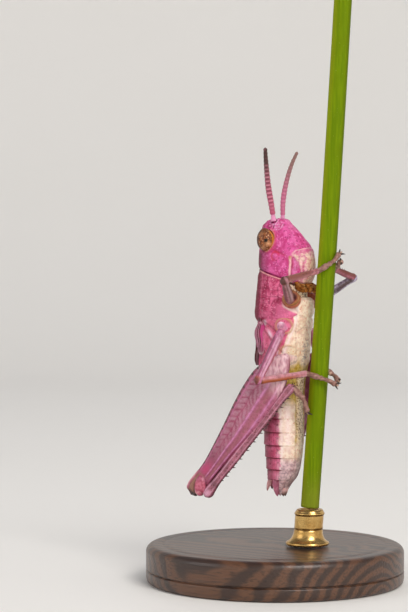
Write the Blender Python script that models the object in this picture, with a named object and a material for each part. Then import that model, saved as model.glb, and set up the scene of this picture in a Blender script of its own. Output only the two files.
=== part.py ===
"""Pink grasshopper nymph on a cut grass stem, on a small display stand.

The animal clings head up: +Z is towards its head, +X is its belly side and
faces the stem, -Y is its right side.  Lengths below are in millimetres, and
the last step turns the finished meshes into metres.  The frame's origin is the
middle of the stand's underside.
"""
import math

import bpy
from mathutils import Matrix, Vector

MM = 0.001
GAP = 0.1                       # thin cut between two neighbouring solids

# ---- driving dimensions ----------------------------------------------------
BODY_TOP = 21.12                # tip of the head above the stand's underside
BODY_TIP = 5.06                 # end of the abdomen
BODY_SHIFT = Vector((0.57, 0.0, 0.0))   # the body's axis from the stand's

BASE_RADIUS = 7.5
BASE_HEIGHT = 2.2
BASE_EDGE = 0.35                # rounded rim of the base

STEM_RADIUS = 0.525
STEM_TOP = 34.5
STEM_FOOT = 4.4                 # where the stem leaves its ferrule
STEM_AT_FLOOR = 1.49            # distance of the stem's axis from the body's
STEM_LEAN = 0.0757              # its lean away from the body, per unit height
STEM_BOW = 0.08                 # and its slight bow towards the far side
FERRULE_RADIUS = 0.82

NECK = 18.22                    # height of the head's rear edge on the back
NECK_SLOPE = 0.304              # its fall towards the belly
NECK_BACK = -1.4                # x at which NECK is measured
PRONOTUM_END = 15.33
PAD_TIP = 13.10                 # lower tips of the wing pads
PAD_LIFT = 0.05                 # how far they stand proud of the back
PAD_DEPTH = 0.40
ABDOMEN_TOP = 12.15
ABDOMEN_CUTS = (9.72, 7.27)     # between the abdomen's three lengths

EYE_CENTRE = Vector((-0.57, 0.98, 19.90))
EYE_SIZE = Vector((0.52, 0.46, 0.65))
LEAST = 0.25                    # half of the thinnest leg or feeler

# height, fall towards the belly, back, front, half width, squareness
HEAD = (
    (BODY_TOP, 0.0, -0.80, 0.16, 0.30, 2.4),
    (21.04, 0.0, -0.98, 0.30, 0.42, 2.4),
    (20.70, 0.0, -1.29, 0.61, 0.64, 2.4),
    (20.37, 0.0, -1.38, 0.98, 0.76, 2.4),
    (19.90, 0.0, -1.42, 1.38, 0.88, 2.4),
    (19.50, 0.0, -1.44, 1.76, 0.98, 2.4),
    (19.20, 0.03, -1.45, 1.94, 1.08, 2.5),
    (18.85, 0.10, -1.45, 2.00, 1.15, 2.5),
    (18.50, 0.20, -1.44, 1.98, 1.19, 2.5),
    (NECK + GAP, NECK_SLOPE, -1.40, 1.74, 1.15, 2.5),
)

# height, back, front, half width, squareness
TRUNK = (
    (18.40, -1.42, 1.95, 1.25, 2.4),
    (17.60, -1.44, 1.91, 1.30, 2.4),
    (16.56, -1.54, 1.84, 1.38, 2.4),
    (15.74, -1.62, 1.82, 1.44, 2.4),
    (14.77, -1.61, 1.62, 1.45, 2.4),
    (14.00, -1.58, 1.59, 1.45, 2.4),
    (12.70, -1.43, 1.46, 1.37, 2.3),
    (11.70, -1.34, 1.25, 1.27, 2.2),
    (10.50, -1.22, 1.22, 1.20, 2.1),
    (9.13, -1.13, 1.22, 1.15, 2.1),
    (7.67, -1.03, 1.16, 1.08, 2.1),
    (6.50, -0.92, 0.95, 0.93, 2.1),
    (5.90, -0.84, 0.68, 0.80, 2.1),
    (5.50, -0.76, 0.42, 0.62, 2.1),
    (5.20, -0.60, 0.28, 0.46, 2.1),
    (BODY_TIP, -0.44, 0.14, 0.30, 2.1),
)

# each leg of the right side: hip, hip's half size, start of the thigh, knee,
# end of the shin, and the foot's way round the stem
FORE = dict(
    coxa=Vector((1.30, -1.15, 16.40)), coxa_size=Vector((0.55, 0.45, 0.50)),
    hip=Vector((1.40, -1.40, 16.30)), knee=Vector((2.33, -3.50, 17.48)),
    ankle=Vector((2.90, -0.95, 18.02)),
    foot=(Vector((3.40, -0.66, 18.35)), Vector((3.86, -0.28, 18.72)),
          Vector((3.93, 0.08, 19.15))))
FORE_FAR = dict(
    coxa=Vector((1.30, 1.15, 16.40)), coxa_size=Vector((0.55, 0.45, 0.50)),
    hip=Vector((1.40, 1.40, 16.30)), knee=Vector((2.94, 3.10, 17.72)),
    ankle=Vector((2.80, 0.95, 18.20)),
    foot=(Vector((3.45, 0.72, 18.42)), Vector((3.80, 0.42, 18.54)),
          Vector((3.95, 0.06, 18.56))))
MIDDLE = dict(
    coxa=Vector((0.95, -1.50, 14.92)), coxa_size=Vector((0.45, 0.40, 0.45)),
    hip=Vector((0.95, -1.62, 14.65)), knee=Vector((0.50, -3.35, 11.85)),
    ankle=Vector((2.20, -0.97, 12.20)),
    foot=(Vector((3.06, -0.70, 11.94)), Vector((3.60, -0.30, 11.74)),
          Vector((3.84, -0.06, 11.42))))
MIDDLE_FAR = dict(
    coxa=Vector((0.95, 1.50, 14.92)), coxa_size=Vector((0.45, 0.40, 0.45)),
    hip=Vector((0.95, 1.62, 14.65)), knee=Vector((0.60, 3.45, 11.98)),
    ankle=Vector((2.20, 0.99, 12.34)),
    foot=(Vector((2.98, 0.84, 12.14)), Vector((3.42, 0.64, 11.94)),
          Vector((3.62, 0.46, 11.66))))
HIND = dict(
    coxa=Vector((1.05, -1.30, 13.05)), coxa_size=Vector((0.55, 0.45, 0.50)),
    hip=Vector((1.15, -1.62, 13.08)), knee=Vector((-3.65, -3.50, 5.52)),
    ankle=Vector((1.60, -1.62, 11.45)),
    foot=(Vector((1.95, -1.30, 10.90)), Vector((2.06, -1.02, 10.35)),
          Vector((2.02, -0.84, 9.83))))

FAR_KNEE = Vector((-3.32, 4.30, 5.55))  # the left jumping leg is held wider

# along the leg, reach on the outer side of the bend, reach on its inner
# side, half thickness
THIGH = ((0.0, 0.27, 0.27, 0.27), (0.2, 0.32, 0.30, 0.28),
         (0.8, 0.28, 0.26, 0.26), (1.0, 0.27, 0.25, 0.26),
         (1.06, 0.14, 0.14, 0.14))
SHIN = ((0.0, 0.25, 0.25, 0.25), (0.3, 0.27, 0.26, 0.26),
        (1.0, 0.25, 0.25, 0.25), (1.04, 0.16, 0.16, 0.16))
HIND_THIGH = (
    (0.00, 0.40, 0.40, 0.34), (0.06, 0.74, 0.68, 0.42),
    (0.16, 1.04, 1.00, 0.48), (0.28, 1.09, 1.09, 0.50),
    (0.40, 1.00, 1.05, 0.46), (0.55, 0.80, 0.92, 0.38),
    (0.70, 0.62, 0.70, 0.31), (0.86, 0.50, 0.54, 0.27),
    (0.94, 0.56, 0.50, 0.31), (1.00, 0.60, 0.44, 0.32),
    (1.04, 0.42, 0.28, 0.22))

SPINES = 10                     # in the row along the hind shin
SPINE_REACH = 0.15
SHIN_SIDES = 10

# beside the midline, the feelers rise, bend outwards and lean to the belly
FEELER = (Vector((-0.30, 0.47, 20.80)), Vector((-0.41, 0.62, 21.97)),
          Vector((-0.45, 0.85, 22.85)), Vector((-0.40, 1.10, 23.75)),
          Vector((-0.30, 1.37, 24.53)), Vector((-0.16, 1.62, 25.08)))

PINK, PALE, DARK = (0.62, 0.15, 0.28), (0.80, 0.62, 0.52), (0.30, 0.10, 0.10)


# ---- small tools -----------------------------------------------------------
def material(name, colour, rough=0.45, metal=0.0):
    """One Principled material for each sub-part."""
    made = bpy.data.materials.new(name)
    made.use_nodes = True
    shader = made.node_tree.nodes["Principled BSDF"]
    shader.inputs["Base Color"].default_value = (*colour, 1.0)
    shader.inputs["Roughness"].default_value = rough
    shader.inputs["Metallic"].default_value = metal
    return made


def solid(name, rings, colour, shift=BODY_SHIFT, rough=0.45, metal=0.0):
    """Close a stack of rings of points into one solid."""
    count = len(rings[0])
    points = [p + shift for ring in rings for p in ring]
    ends = []
    for ring in (rings[0], rings[-1]):
        ends.append(len(points))
        points.append(sum(ring, Vector()) / count + shift)
    faces = []
    for row in range(len(rings) - 1):
        for k in range(count):
            a, b = row * count + k, row * count + (k + 1) % count
            faces.append((a, b, b + count, a + count))
    last = (len(rings) - 1) * count
    for k in range(count):
        after = (k + 1) % count
        faces.append((after, k, ends[0]))
        faces.append((last + k, last + after, ends[1]))
    mesh = bpy.data.meshes.new(name)
    mesh.from_pydata(points, [], faces)
    made = bpy.data.objects.new(name, mesh)
    bpy.context.scene.collection.objects.link(made)
    mesh.materials.append(material(name, colour, rough, metal))
    if volume(mesh) < 0:
        mesh.flip_normals()
    return made


def volume(mesh):
    """Signed volume of a closed mesh."""
    total = 0.0
    for face in mesh.polygons:
        ids = face.vertices
        first = mesh.vertices[ids[0]].co
        for k in range(1, len(ids) - 1):
            total += first.dot(mesh.vertices[ids[k]].co.cross(
                mesh.vertices[ids[k + 1]].co))
    return total


def carve(made, tool):
    """Cut a solid with a tool, which is then thrown away."""
    cut = made.modifiers.new("cut", "BOOLEAN")
    cut.operation, cut.solver, cut.object = "DIFFERENCE", "EXACT", tool
    bpy.context.view_layer.update()
    seen = made.evaluated_get(bpy.context.evaluated_depsgraph_get())
    mesh = bpy.data.meshes.new_from_object(seen)
    made.modifiers.clear()
    old, made.data = made.data, mesh
    mesh.name = made.name
    bpy.data.meshes.remove(old)
    bpy.data.objects.remove(tool)


def power(value, exponent):
    return math.copysign(abs(value) ** exponent, value)


def section(height, fall, back, front, half, square, sides=24, edge=None,
            belly=False):
    """One ring of a body: an egg round with squared shoulders.

    With an edge, the ring is closed by a flat face at that x, and only its
    back or its belly is kept, so that two plates can share one outline.
    """
    middle, reach = (back + front) / 2, (front - back) / 2

    def point(turn):
        return Vector((middle + reach * power(math.cos(turn), 2 / square),
                       half * power(math.sin(turn), 2 / square), 0))

    if edge is None:
        ring = [point(2 * math.pi * k / sides) for k in range(sides)]
    else:
        share = max(-0.97, min(0.97, (edge - middle) / reach))
        turn = math.acos(power(share, square / 2))
        start, stop = (-turn, turn) if belly else (turn, 2 * math.pi - turn)
        arc = sides * 2 // 3
        ring = [point(start + (stop - start) * k / arc)
                for k in range(arc + 1)]
        first, last = ring[0], ring[-1]
        ring += [last.lerp(first, k / (sides - arc))
                 for k in range(1, sides - arc)]
    return [Vector((p.x, p.y, height - fall * (p.x - NECK_BACK)))
            for p in ring]


def between(rows, at):
    """Smooth values of a table at one height or place along a limb."""
    rows = sorted(rows)
    at = max(rows[0][0], min(rows[-1][0], at))
    k = max(i for i in range(len(rows) - 1) if rows[i][0] <= at)
    low, high = rows[k], rows[k + 1]
    before, after = rows[max(k - 1, 0)], rows[min(k + 2, len(rows) - 1)]
    span = high[0] - low[0]
    t = (at - low[0]) / span
    values = []
    for c in range(1, len(low)):
        rise = high[c] - low[c]
        m0 = (high[c] - before[c]) / (high[0] - before[0]) * span
        m1 = (after[c] - low[c]) / (after[0] - low[0]) * span
        if rise == 0:
            m0 = m1 = 0.0
        values.append(low[c] + t * t * (3 - 2 * t) * rise
                      + t * (1 - t) ** 2 * m0 - t * t * (1 - t) * m1)
    return values


def ball(name, centre, size, colour, grow=0.0, rings=7, sides=12):
    """An egg-shaped solid."""
    stack = []
    for row in range(rings):
        tip = math.pi * (row + 0.5) / rings
        stack.append([centre + Vector((
            (size.x + grow) * math.sin(tip) * math.cos(2 * math.pi * k / sides),
            (size.y + grow) * math.sin(tip) * math.sin(2 * math.pi * k / sides),
            (size.z + grow) * math.cos(tip))) for k in range(sides)])
    return solid(name, stack, colour, rough=0.3)


def limb(name, start, end, bend, rows, colour, grow=0.0, sides=10, steps=6):
    """A straight length of leg; bend points to the inner side of its bend."""
    along = end - start
    run = along.normalized()
    inner = (bend - run * bend.dot(run)).normalized()
    side = run.cross(inner)
    stack = []
    last = rows[-1][0]
    for step in range(steps + 1):
        t = last * step / steps
        out, into, half = (v + grow for v in between(rows, t))
        centre = start + along * t
        stack.append([
            centre
            + inner * (into if math.cos(a) > 0 else out) * math.cos(a)
            + side * half * math.sin(a)
            for a in (2 * math.pi * k / sides for k in range(sides))])
    if grow:
        stack = [[p - run * grow for p in stack[0]]] + stack + [
            [p + run * grow for p in stack[-1]]]
    return solid(name, stack, colour)


def way(points, steps):
    """A smooth way through a few points."""
    rows = [(i, *p) for i, p in enumerate(points)]
    last = len(points) - 1
    return [Vector(between(rows, last * s / steps)) for s in range(steps + 1)]


def tube(name, points, radii, colour, grow=0.0, sides=10, steps=10,
         shift=BODY_SHIFT, rough=0.45, metal=0.0):
    """A round tube along a smooth way; radii run from its start to its end."""
    path = way(points, steps)
    stack, inner = [], Vector((1.0, 0.3, 0.2))
    for k, centre in enumerate(path):
        run = (path[min(k + 1, steps)] - path[max(k - 1, 0)]).normalized()
        inner = (inner - run * inner.dot(run)).normalized()
        side = run.cross(inner)
        r = radii[0] + (radii[1] - radii[0]) * k / steps + grow
        stack.append([
            centre + (inner * math.cos(a) + side * math.sin(a)) * r
            for a in (2 * math.pi * j / sides for j in range(sides))])
    return solid(name, stack, colour, shift, rough, metal)


def stem_axis(height):
    """The stem's middle at one height, beside the body's axis."""
    middle = (STEM_TOP + STEM_FOOT) / 2
    reach = (STEM_TOP - STEM_FOOT) / 2
    bow = STEM_BOW * (1 - ((height - middle) / reach) ** 2)
    return Vector((STEM_AT_FLOOR + STEM_LEAN * height + bow, 0.0, height))


def mirrored(value):
    """The same place on the left side."""
    return Vector((value.x, -value.y, value.z))


def mirror_leg(leg):
    """The same leg on the left side."""
    return {key: tuple(mirrored(p) for p in value) if key == "foot"
            else value if key == "coxa_size" else mirrored(value)
            for key, value in leg.items()}


# ---- the stand and the perch -----------------------------------------------
def stand():
    """A flat round base, a ferrule on it and the cut stem in the ferrule."""
    rings = []
    for radius, height in (
            (BASE_RADIUS - BASE_EDGE, 0.0), (BASE_RADIUS, BASE_EDGE),
            (BASE_RADIUS, BASE_HEIGHT - BASE_EDGE),
            (BASE_RADIUS - BASE_EDGE * 0.3, BASE_HEIGHT - BASE_EDGE * 0.3),
            (BASE_RADIUS - BASE_EDGE, BASE_HEIGHT)):
        rings.append([Vector((radius * math.cos(2 * math.pi * k / 48),
                              radius * math.sin(2 * math.pi * k / 48),
                              height)) for k in range(48)])
    solid("stand_base", rings, (0.11, 0.05, 0.025), shift=Vector(), rough=0.4)

    foot = stem_axis(BASE_HEIGHT + GAP)
    top = stem_axis(STEM_FOOT)
    rings = []
    for share, radius in ((0.0, 1.25), (0.12, 1.25), (0.22, 0.9),
                          (0.3, FERRULE_RADIUS), (0.95, FERRULE_RADIUS),
                          (1.0, FERRULE_RADIUS - 0.1)):
        centre = foot.lerp(top, share)
        rings.append([centre + Vector((
            radius * math.cos(2 * math.pi * k / 18),
            radius * math.sin(2 * math.pi * k / 18), 0)) for k in range(18)])
    solid("stand_rod", rings, (0.72, 0.52, 0.22), rough=0.25, metal=1.0)

    tube("perch_stem",
         [stem_axis(STEM_FOOT + GAP + (STEM_TOP - STEM_FOOT - GAP) * k / 4)
          for k in range(5)],
         (STEM_RADIUS, STEM_RADIUS * 0.97), (0.15, 0.26, 0.01), sides=16,
         steps=6, rough=0.35)


# ---- the head --------------------------------------------------------------
def feeler(name, side, grow=0.0):
    path = [Vector((p.x, p.y * side, p.z)) for p in FEELER]
    return tube(name, path, (LEAST, LEAST), (0.45, 0.12, 0.2), grow, sides=8,
                steps=10)


def head():
    """The head capsule, its eyes and its feelers."""
    capsule = solid("head", [section(*row) for row in HEAD], (0.72, 0.17, 0.38))
    for side, word in ((-1, "right"), (1, "left")):
        centre = Vector((EYE_CENTRE.x, EYE_CENTRE.y * side, EYE_CENTRE.z))
        carve(capsule, ball("tool", centre, EYE_SIZE, PINK, GAP))
        ball(f"eye_{word}", centre, EYE_SIZE, (0.28, 0.09, 0.03), rings=8,
             sides=16)
        carve(capsule, feeler("tool", side, GAP))
        feeler(f"antenna_{word}", side)


def mouthparts():
    """Palps and lower lip under the head."""
    rings = []
    for height, back, front, half in (
            (17.26, 1.00, 1.72, 0.62), (17.05, 0.98, 1.80, 0.70),
            (16.82, 1.02, 1.76, 0.60)):
        rings.append(section(height, 0.0, back, front, half, 2.2, sides=16))
    return solid("mouthparts", rings, (0.36, 0.16, 0.06))


# ---- the trunk -------------------------------------------------------------
def lobe_edge(height):
    """Where the collar's side lobe ends towards the belly."""
    return 0.75 + 0.41 * (17.59 - height)


def trunk_ring(height, fall=0.0, edge=None, belly=False):
    return section(height, fall, *between(TRUNK, height), edge=edge,
                   belly=belly)


def pronotum():
    """The saddle-shaped collar over the back and both sides."""
    rings = []
    for height, fall in ((NECK, NECK_SLOPE), (17.90, 0.28), (17.40, 0.18),
                         (16.90, 0.07), (16.40, 0.0), (15.80, 0.0),
                         (PRONOTUM_END, 0.0)):
        edge = lobe_edge(height - fall * 2.15)
        rings.append(trunk_ring(height, fall, edge))
    return solid("pronotum", rings, (0.60, 0.12, 0.22))


def thorax():
    """Breast plates below the collar, then the whole hind chest."""
    step = PRONOTUM_END - GAP
    rings = []
    for height in (16.70, 16.30, 15.80, step + 0.06):
        rings.append(trunk_ring(height, 0.0, lobe_edge(height) + GAP, True))
    for height in (step, 14.6, 14.0, 13.4, 12.8, ABDOMEN_TOP + GAP):
        rings.append(trunk_ring(height, 0.0, -9, True))
    made = solid("thorax", rings, PALE)
    for side, word in ((-1, "right"), (1, "left")):
        carve(made, wing_pad("tool", side, GAP))
        wing_pad(f"wing_pad_{word}", side)
    return made


def wing_pad(name, side, grow=0.0):
    """One side's leaf-shaped wing pads, let into the back."""
    top = PRONOTUM_END - GAP + grow
    low = PAD_TIP - grow
    rings = []
    for share in (0.0, 0.15, 0.35, 0.6, 0.85, 1.0):
        height = top + (low - top) * share
        back, front, half, square = between(TRUNK, height)
        widen = math.degrees(grow / half)
        inner = 3 + 24 * share ** 2 - widen
        outer = 36 + (1 - share ** 2) * (28 + 32 * share) + widen
        ring = []
        for lift, order in ((PAD_LIFT + grow, 1), (-PAD_DEPTH - grow, -1)):
            arc = []
            for k in range(6):
                turn = math.radians(180 + inner + (outer - inner) * k / 5)
                middle, reach = (back + front) / 2, (front - back) / 2
                arc.append(Vector((
                    middle + (reach + lift) * power(math.cos(turn), 2 / square),
                    -(half + lift) * side * power(math.sin(turn), 2 / square),
                    height)))
            ring += arc[::order]
        rings.append(ring)
    return solid(name, rings, (0.45, 0.10, 0.16))


def abdomen():
    """Three lengths of the abdomen, parted at joints between segments."""
    ends = [ABDOMEN_TOP]
    for cut in ABDOMEN_CUTS:
        ends += [cut + GAP / 2, cut - GAP / 2]
    ends.append(BODY_TIP)
    for k, word in enumerate(("base", "middle", "tip")):
        top, low = ends[2 * k], ends[2 * k + 1]
        steps = 6 if word == "tip" else 4
        rings = [trunk_ring(top + (low - top) * s / steps)
                 for s in range(steps + 1)]
        colour = PALE if word == "base" else (0.62, 0.40, 0.38)
        made = solid(f"abdomen_{word}", rings, colour)
    valves(made)


def valves(tip):
    """The egg-laying valves at the end of the back."""
    rows = ((0.0, 0.26, 0.26, 0.36), (1.0, 0.25, 0.25, 0.26))
    place = (Vector((-0.72, 0, 5.80)), Vector((-0.52, 0, 5.00)),
             Vector((1, 0, 0)), rows)
    carve(tip, limb("tool", *place, PINK, GAP, sides=8, steps=2))
    limb("ovipositor", *place, PINK, sides=8, steps=2)


# ---- the legs --------------------------------------------------------------
def leg(name, word, plan, body):
    """Hip, thigh, shin and foot of a fore or middle leg."""
    bend = plan["ankle"] - plan["knee"]
    hip = (plan["coxa"], plan["coxa_size"])
    thigh = (plan["hip"], plan["knee"], bend, THIGH)
    shin = (plan["knee"], plan["ankle"], plan["hip"] - plan["knee"], SHIN)
    ball(f"{name}_coxa_{word}", *hip, PALE)
    for plate in body:
        carve(plate, ball("tool", *hip, PALE, GAP))
    made = limb(f"{name}_femur_{word}", *thigh, PINK)
    carve(made, ball("tool", *hip, PALE, GAP))
    made = limb(f"{name}_tibia_{word}", *shin, (0.48, 0.2, 0.18))
    carve(made, limb("tool", *thigh, PINK, GAP))
    made = tube(f"{name}_tarsus_{word}", (plan["ankle"], *plan["foot"]),
                (0.24, 0.2), DARK, sides=8, steps=6)
    carve(made, limb("tool", *shin, PINK, GAP))


def hind_leg(word, plan, body):
    """The jumping leg, with its shin folded against the thigh."""
    run = (plan["knee"] - plan["hip"]).normalized()
    bend = plan["ankle"] - plan["knee"]
    inner = (bend - run * bend.dot(run)).normalized()
    hip = (plan["coxa"], plan["coxa_size"])
    thigh = (plan["hip"], plan["knee"], bend, HIND_THIGH)
    start = plan["knee"] + run * 0.12 + inner * 0.72
    ball(f"hind_coxa_{word}", *hip, PALE)
    for plate in body:
        carve(plate, ball("tool", *hip, PALE, GAP))
    femur = limb(f"hind_femur_{word}", *thigh, PINK, sides=14, steps=12)
    carve(femur, ball("tool", *hip, PALE, GAP))
    rows = ((0.0, 0.30, 0.28, 0.26), (0.05, 0.29, 0.27, 0.26),
            (0.12, 0.26, 0.26, 0.25), (1.0, 0.25, 0.25, 0.25))
    shin = (start, plan["ankle"], inner, rows)
    carve(femur, limb("tool", *shin, PINK, GAP, sides=10, steps=2 * SPINES))
    tibia = limb(f"hind_tibia_{word}", *shin, (0.52, 0.2, 0.25), sides=SHIN_SIDES,
                 steps=2 * SPINES)
    spines(tibia, inner, plan)
    foot = tube(f"hind_tarsus_{word}", (plan["ankle"], *plan["foot"]),
                (0.24, 0.2), DARK, sides=8, steps=6)
    carve(foot, limb("tool", *shin, PINK, GAP, sides=10, steps=2 * SPINES))


def spines(tibia, inner, plan):
    """Draw a row of faces of the shin out into spines."""
    mesh = tibia.data
    run = (plan["ankle"] - plan["knee"]).normalized()
    points = [v.co.copy() for v in mesh.vertices]
    faces = []
    for face in mesh.polygons:
        ids = list(face.vertices)
        row, column = divmod(face.index, SHIN_SIDES)
        if len(ids) == 4 and column == 0 and row % 2 and row > 3:
            tip = sum((points[i] for i in ids), Vector()) / 4 + (
                inner * SPINE_REACH + run * SPINE_REACH * 0.3)
            points.append(tip)
            faces += [(ids[k], ids[(k + 1) % 4], len(points) - 1)
                      for k in range(4)]
        else:
            faces.append(ids)
    made = bpy.data.meshes.new(mesh.name)
    made.from_pydata(points, [], faces)
    made.materials.append(mesh.materials[0])
    tibia.data = made
    bpy.data.meshes.remove(mesh)


def main():
    for old in list(bpy.data.objects):
        bpy.data.objects.remove(old)
    stand()
    head()
    mouth, collar, chest = mouthparts(), pronotum(), thorax()
    abdomen()
    base = bpy.data.objects["abdomen_base"]
    leg("fore", "right", FORE, (mouth, collar, chest))
    leg("fore", "left", FORE_FAR, (mouth, collar, chest))
    leg("mid", "right", MIDDLE, (collar, chest))
    leg("mid", "left", MIDDLE_FAR, (collar, chest))
    hind_leg("right", HIND, (chest, base))
    hind_leg("left", dict(mirror_leg(HIND), knee=FAR_KNEE), (chest, base))
    for made in bpy.data.objects:
        made.data.transform(Matrix.Scale(MM, 4))


main()
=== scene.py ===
# %% [markdown]
# # Pink grasshopper nymph on a cut grass stem
# This is a life-size display model of a young meadow grasshopper in its rare
# pink form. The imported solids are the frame: they hold every size and place,
# and this lesson dresses them. Each body part could be sculpted by hand. Here
# each one is a grid of points that is pushed in and out by formulas, because
# an insect's shell is smooth with fine, regular relief, and because a grid
# measured from the solids keeps fitting them.
#
# Lengths are millimetres from the body's own axis: +X is towards the belly and
# the stem, -Y is the animal's right side, +Z is towards its head.

# %% The frame
import math

import bpy
import numpy as np
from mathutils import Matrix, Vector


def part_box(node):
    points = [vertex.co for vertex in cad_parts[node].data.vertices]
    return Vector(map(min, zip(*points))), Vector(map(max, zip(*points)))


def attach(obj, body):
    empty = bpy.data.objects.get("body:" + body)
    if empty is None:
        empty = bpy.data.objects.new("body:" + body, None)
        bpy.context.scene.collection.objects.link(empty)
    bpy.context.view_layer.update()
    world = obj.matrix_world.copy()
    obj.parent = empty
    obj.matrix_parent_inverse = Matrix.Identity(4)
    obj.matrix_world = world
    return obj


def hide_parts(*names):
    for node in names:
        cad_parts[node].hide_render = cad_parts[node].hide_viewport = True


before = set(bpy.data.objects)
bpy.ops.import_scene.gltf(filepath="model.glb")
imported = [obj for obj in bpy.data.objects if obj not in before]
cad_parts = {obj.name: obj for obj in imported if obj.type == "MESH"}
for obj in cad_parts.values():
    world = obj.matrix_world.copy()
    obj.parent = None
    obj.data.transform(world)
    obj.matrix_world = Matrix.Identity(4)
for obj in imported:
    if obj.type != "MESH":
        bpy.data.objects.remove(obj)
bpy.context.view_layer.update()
MM = 1000                     # millimetres in a metre, Blender's own unit
BODY_X = .57                    # the body's axis from the stand's
SIDES = ((-1, "right"), (1, "left"))

# %% [markdown]
# ## Measuring the frame
# A modeller takes sizes from a specimen with callipers. They could be typed in
# as numbers, but then they would be wrong as soon as a solid changes. So each
# solid is read once, and every later size is cut from it.

# %% Corners and edges of a solid
_meshes = {}


def cad(node):
    """Corners and edges of a CAD node in body millimetres."""
    if node not in _meshes:
        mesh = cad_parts[node].data
        points = np.array([v.co[:] for v in mesh.vertices]) * MM
        _meshes[node] = (points - (BODY_X, 0, 0),
            np.array([e.vertices[:] for e in mesh.edges]))
    return _meshes[node]


def middle_of(node):
    """The middle of a node's box."""
    points, _ = cad(node)
    return (points.min(0) + points.max(0)) / 2


print("head's middle", middle_of("head").round(2))

# %% Outline of a cut
NECK_BACK = -1.4                # x at which a sloping cut's height is measured


def cut(nodes, level_of):
    """Points where a level surface crosses the edges of some nodes."""
    found = []
    for node in nodes:
        points, edges = cad(node)
        level = level_of(points)
        a, b = edges.T
        crossing = level[a] * level[b] < 0
        a, b = a[crossing], b[crossing]
        share = level[a] / (level[a] - level[b])
        found.append(points[a] + share[:, None] * (points[b] - points[a]))
    return np.concatenate(found)


def outline_at(nodes, height, fall=0):
    """Back, front and half width of a cut, which falls towards the belly."""
    found = cut(nodes, lambda p: p[:, 2] + fall * (p[:, 0] - NECK_BACK)
        - height)
    return found[:, 0].min(), found[:, 0].max(), np.abs(found[:, 1]).max()


print("cut through the head", np.round(outline_at(["head"], 19.5), 2))

# %% Middle line of a long part
LINE_ENDS = .03                 # how far from its ends a part is first cut


def middle_line(node, start, count=5):
    """Points along the middle of a long node, from its end nearest start."""
    points, _ = cad(node)
    centre = points.mean(0)
    axis = np.linalg.svd(points - centre, full_matrices=False)[2][0]
    if np.linalg.norm(centre - axis - start) > np.linalg.norm(
            centre + axis - start):
        axis = -axis
    reach = (points - centre) @ axis
    low, high = reach.min(), reach.max()
    line = []
    for share in np.linspace(LINE_ENDS, 1 - LINE_ENDS, count):
        place = low + (high - low) * share
        found = cut([node], lambda p: (p - centre) @ axis - place)
        line.append((found.min(0) + found.max(0)) / 2)
    line = np.array(line)
    line[0] -= axis * (high - low) * LINE_ENDS
    line[-1] += axis * (high - low) * LINE_ENDS
    return line


print("stem's foot", middle_line("perch_stem", np.zeros(3))[0].round(2))

# %% [markdown]
# ## Curves
# All the forms below are built from two small curves. A step that eases in and
# out marks where one plate ends. A hump marks a ridge, a groove or a spot.
# Brush strokes would give the same forms, but curves put each one at an exact
# place and alike on both sides.

# %% Steps, humps and smooth stations
def ease(value, low, high):
    """0 below low, 1 above high, smooth between; low may be above high."""
    t = np.clip((value - low) / (high - low), 0, 1)
    return t * t * (3 - 2 * t)


def between(value, a, b, c, d):
    """Rises from a to b, stays at 1, and falls again from c to d."""
    return ease(value, a, b) * ease(value, d, c)


def hump(value, width):
    """A smooth ridge of height 1 round zero."""
    return np.exp(-(value / width) ** 2)


def dot(across, up, width):
    """A round spot of height 1 where across and up are zero."""
    return hump(np.hypot(across, up), width)


def curve(places, values, at):
    """Smooth values through stations; values may have several columns."""
    places, values = np.asarray(places, float), np.asarray(values, float)
    slopes = np.gradient(values, places, axis=0)
    at = np.clip(at, places[0], places[-1])
    k = np.clip(np.searchsorted(places, at) - 1, 0, len(places) - 2)
    span = places[k + 1] - places[k]
    t = (at - places[k]) / span
    if values.ndim > 1:
        t, span = t[..., None], span[..., None]
    return (values[k] * (1 + 2 * t) * (1 - t) ** 2
        + values[k + 1] * t * t * (3 - 2 * t)
        + slopes[k] * span * t * (1 - t) ** 2
        - slopes[k + 1] * span * t * t * (1 - t))

# %% Rounds
def unit(vector):
    vector = np.asarray(vector, float)
    return vector / np.linalg.norm(vector, axis=-1, keepdims=True)


def signed_power(value, exponent):
    return np.sign(value) * np.abs(value) ** exponent


def turns(columns):
    """Angles once round, as one row of a grid."""
    return (np.arange(columns) * 2 * math.pi / columns)[None]


def tips(rows, margin):
    """Angles from pole to pole of a ball, as one column of a grid."""
    return np.linspace(margin, math.pi - margin, rows)[:, None]


def egg(turn, back, front, half, square):
    """x and y of a squared egg round; turn 0 is the belly, 90 degrees left."""
    x = (back + front) / 2 + (front - back) / 2 * signed_power(
        np.cos(turn), 2 / square)
    return x, half * signed_power(np.sin(turn), 2 / square)

# %% [markdown]
# ## Grids
# A grid holds one point for each row and column. Legs and feelers are round
# tubes along a bent line, which Blender's curve tool could bevel. A grid is
# used instead, since its rings can be egg-shaped and its points can carry
# masks for the paint.

# %% Pushing a grid out
def normals(grid, wrap=True):
    """Outward directions of a grid of points."""
    if wrap:
        across = np.roll(grid, -1, 1) - np.roll(grid, 1, 1)
    else:
        across = np.gradient(grid, axis=1)
    out = np.cross(np.gradient(grid, axis=0), across)
    out /= np.maximum(np.linalg.norm(out, axis=-1, keepdims=True), 1e-9)
    centre = grid.mean(1, keepdims=True)
    return out * np.sign(((grid - centre) * out).sum(-1).mean())


def push(grid, amount, wrap=True):
    """Move a grid's points along its own outward directions."""
    return grid + normals(grid, wrap) * np.asarray(amount)[..., None]

# %% Tubes along a line
def line_frame(path, inner):
    """Running, inner and side directions along a path."""
    run = unit(np.gradient(path, axis=0))
    inners = []
    inner = np.asarray(inner, float)
    for direction in run:
        inner = unit(inner - direction * (inner @ direction))
        inners.append(inner)
    inners = np.array(inners)
    return run, inners, np.cross(run, inners)


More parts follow.
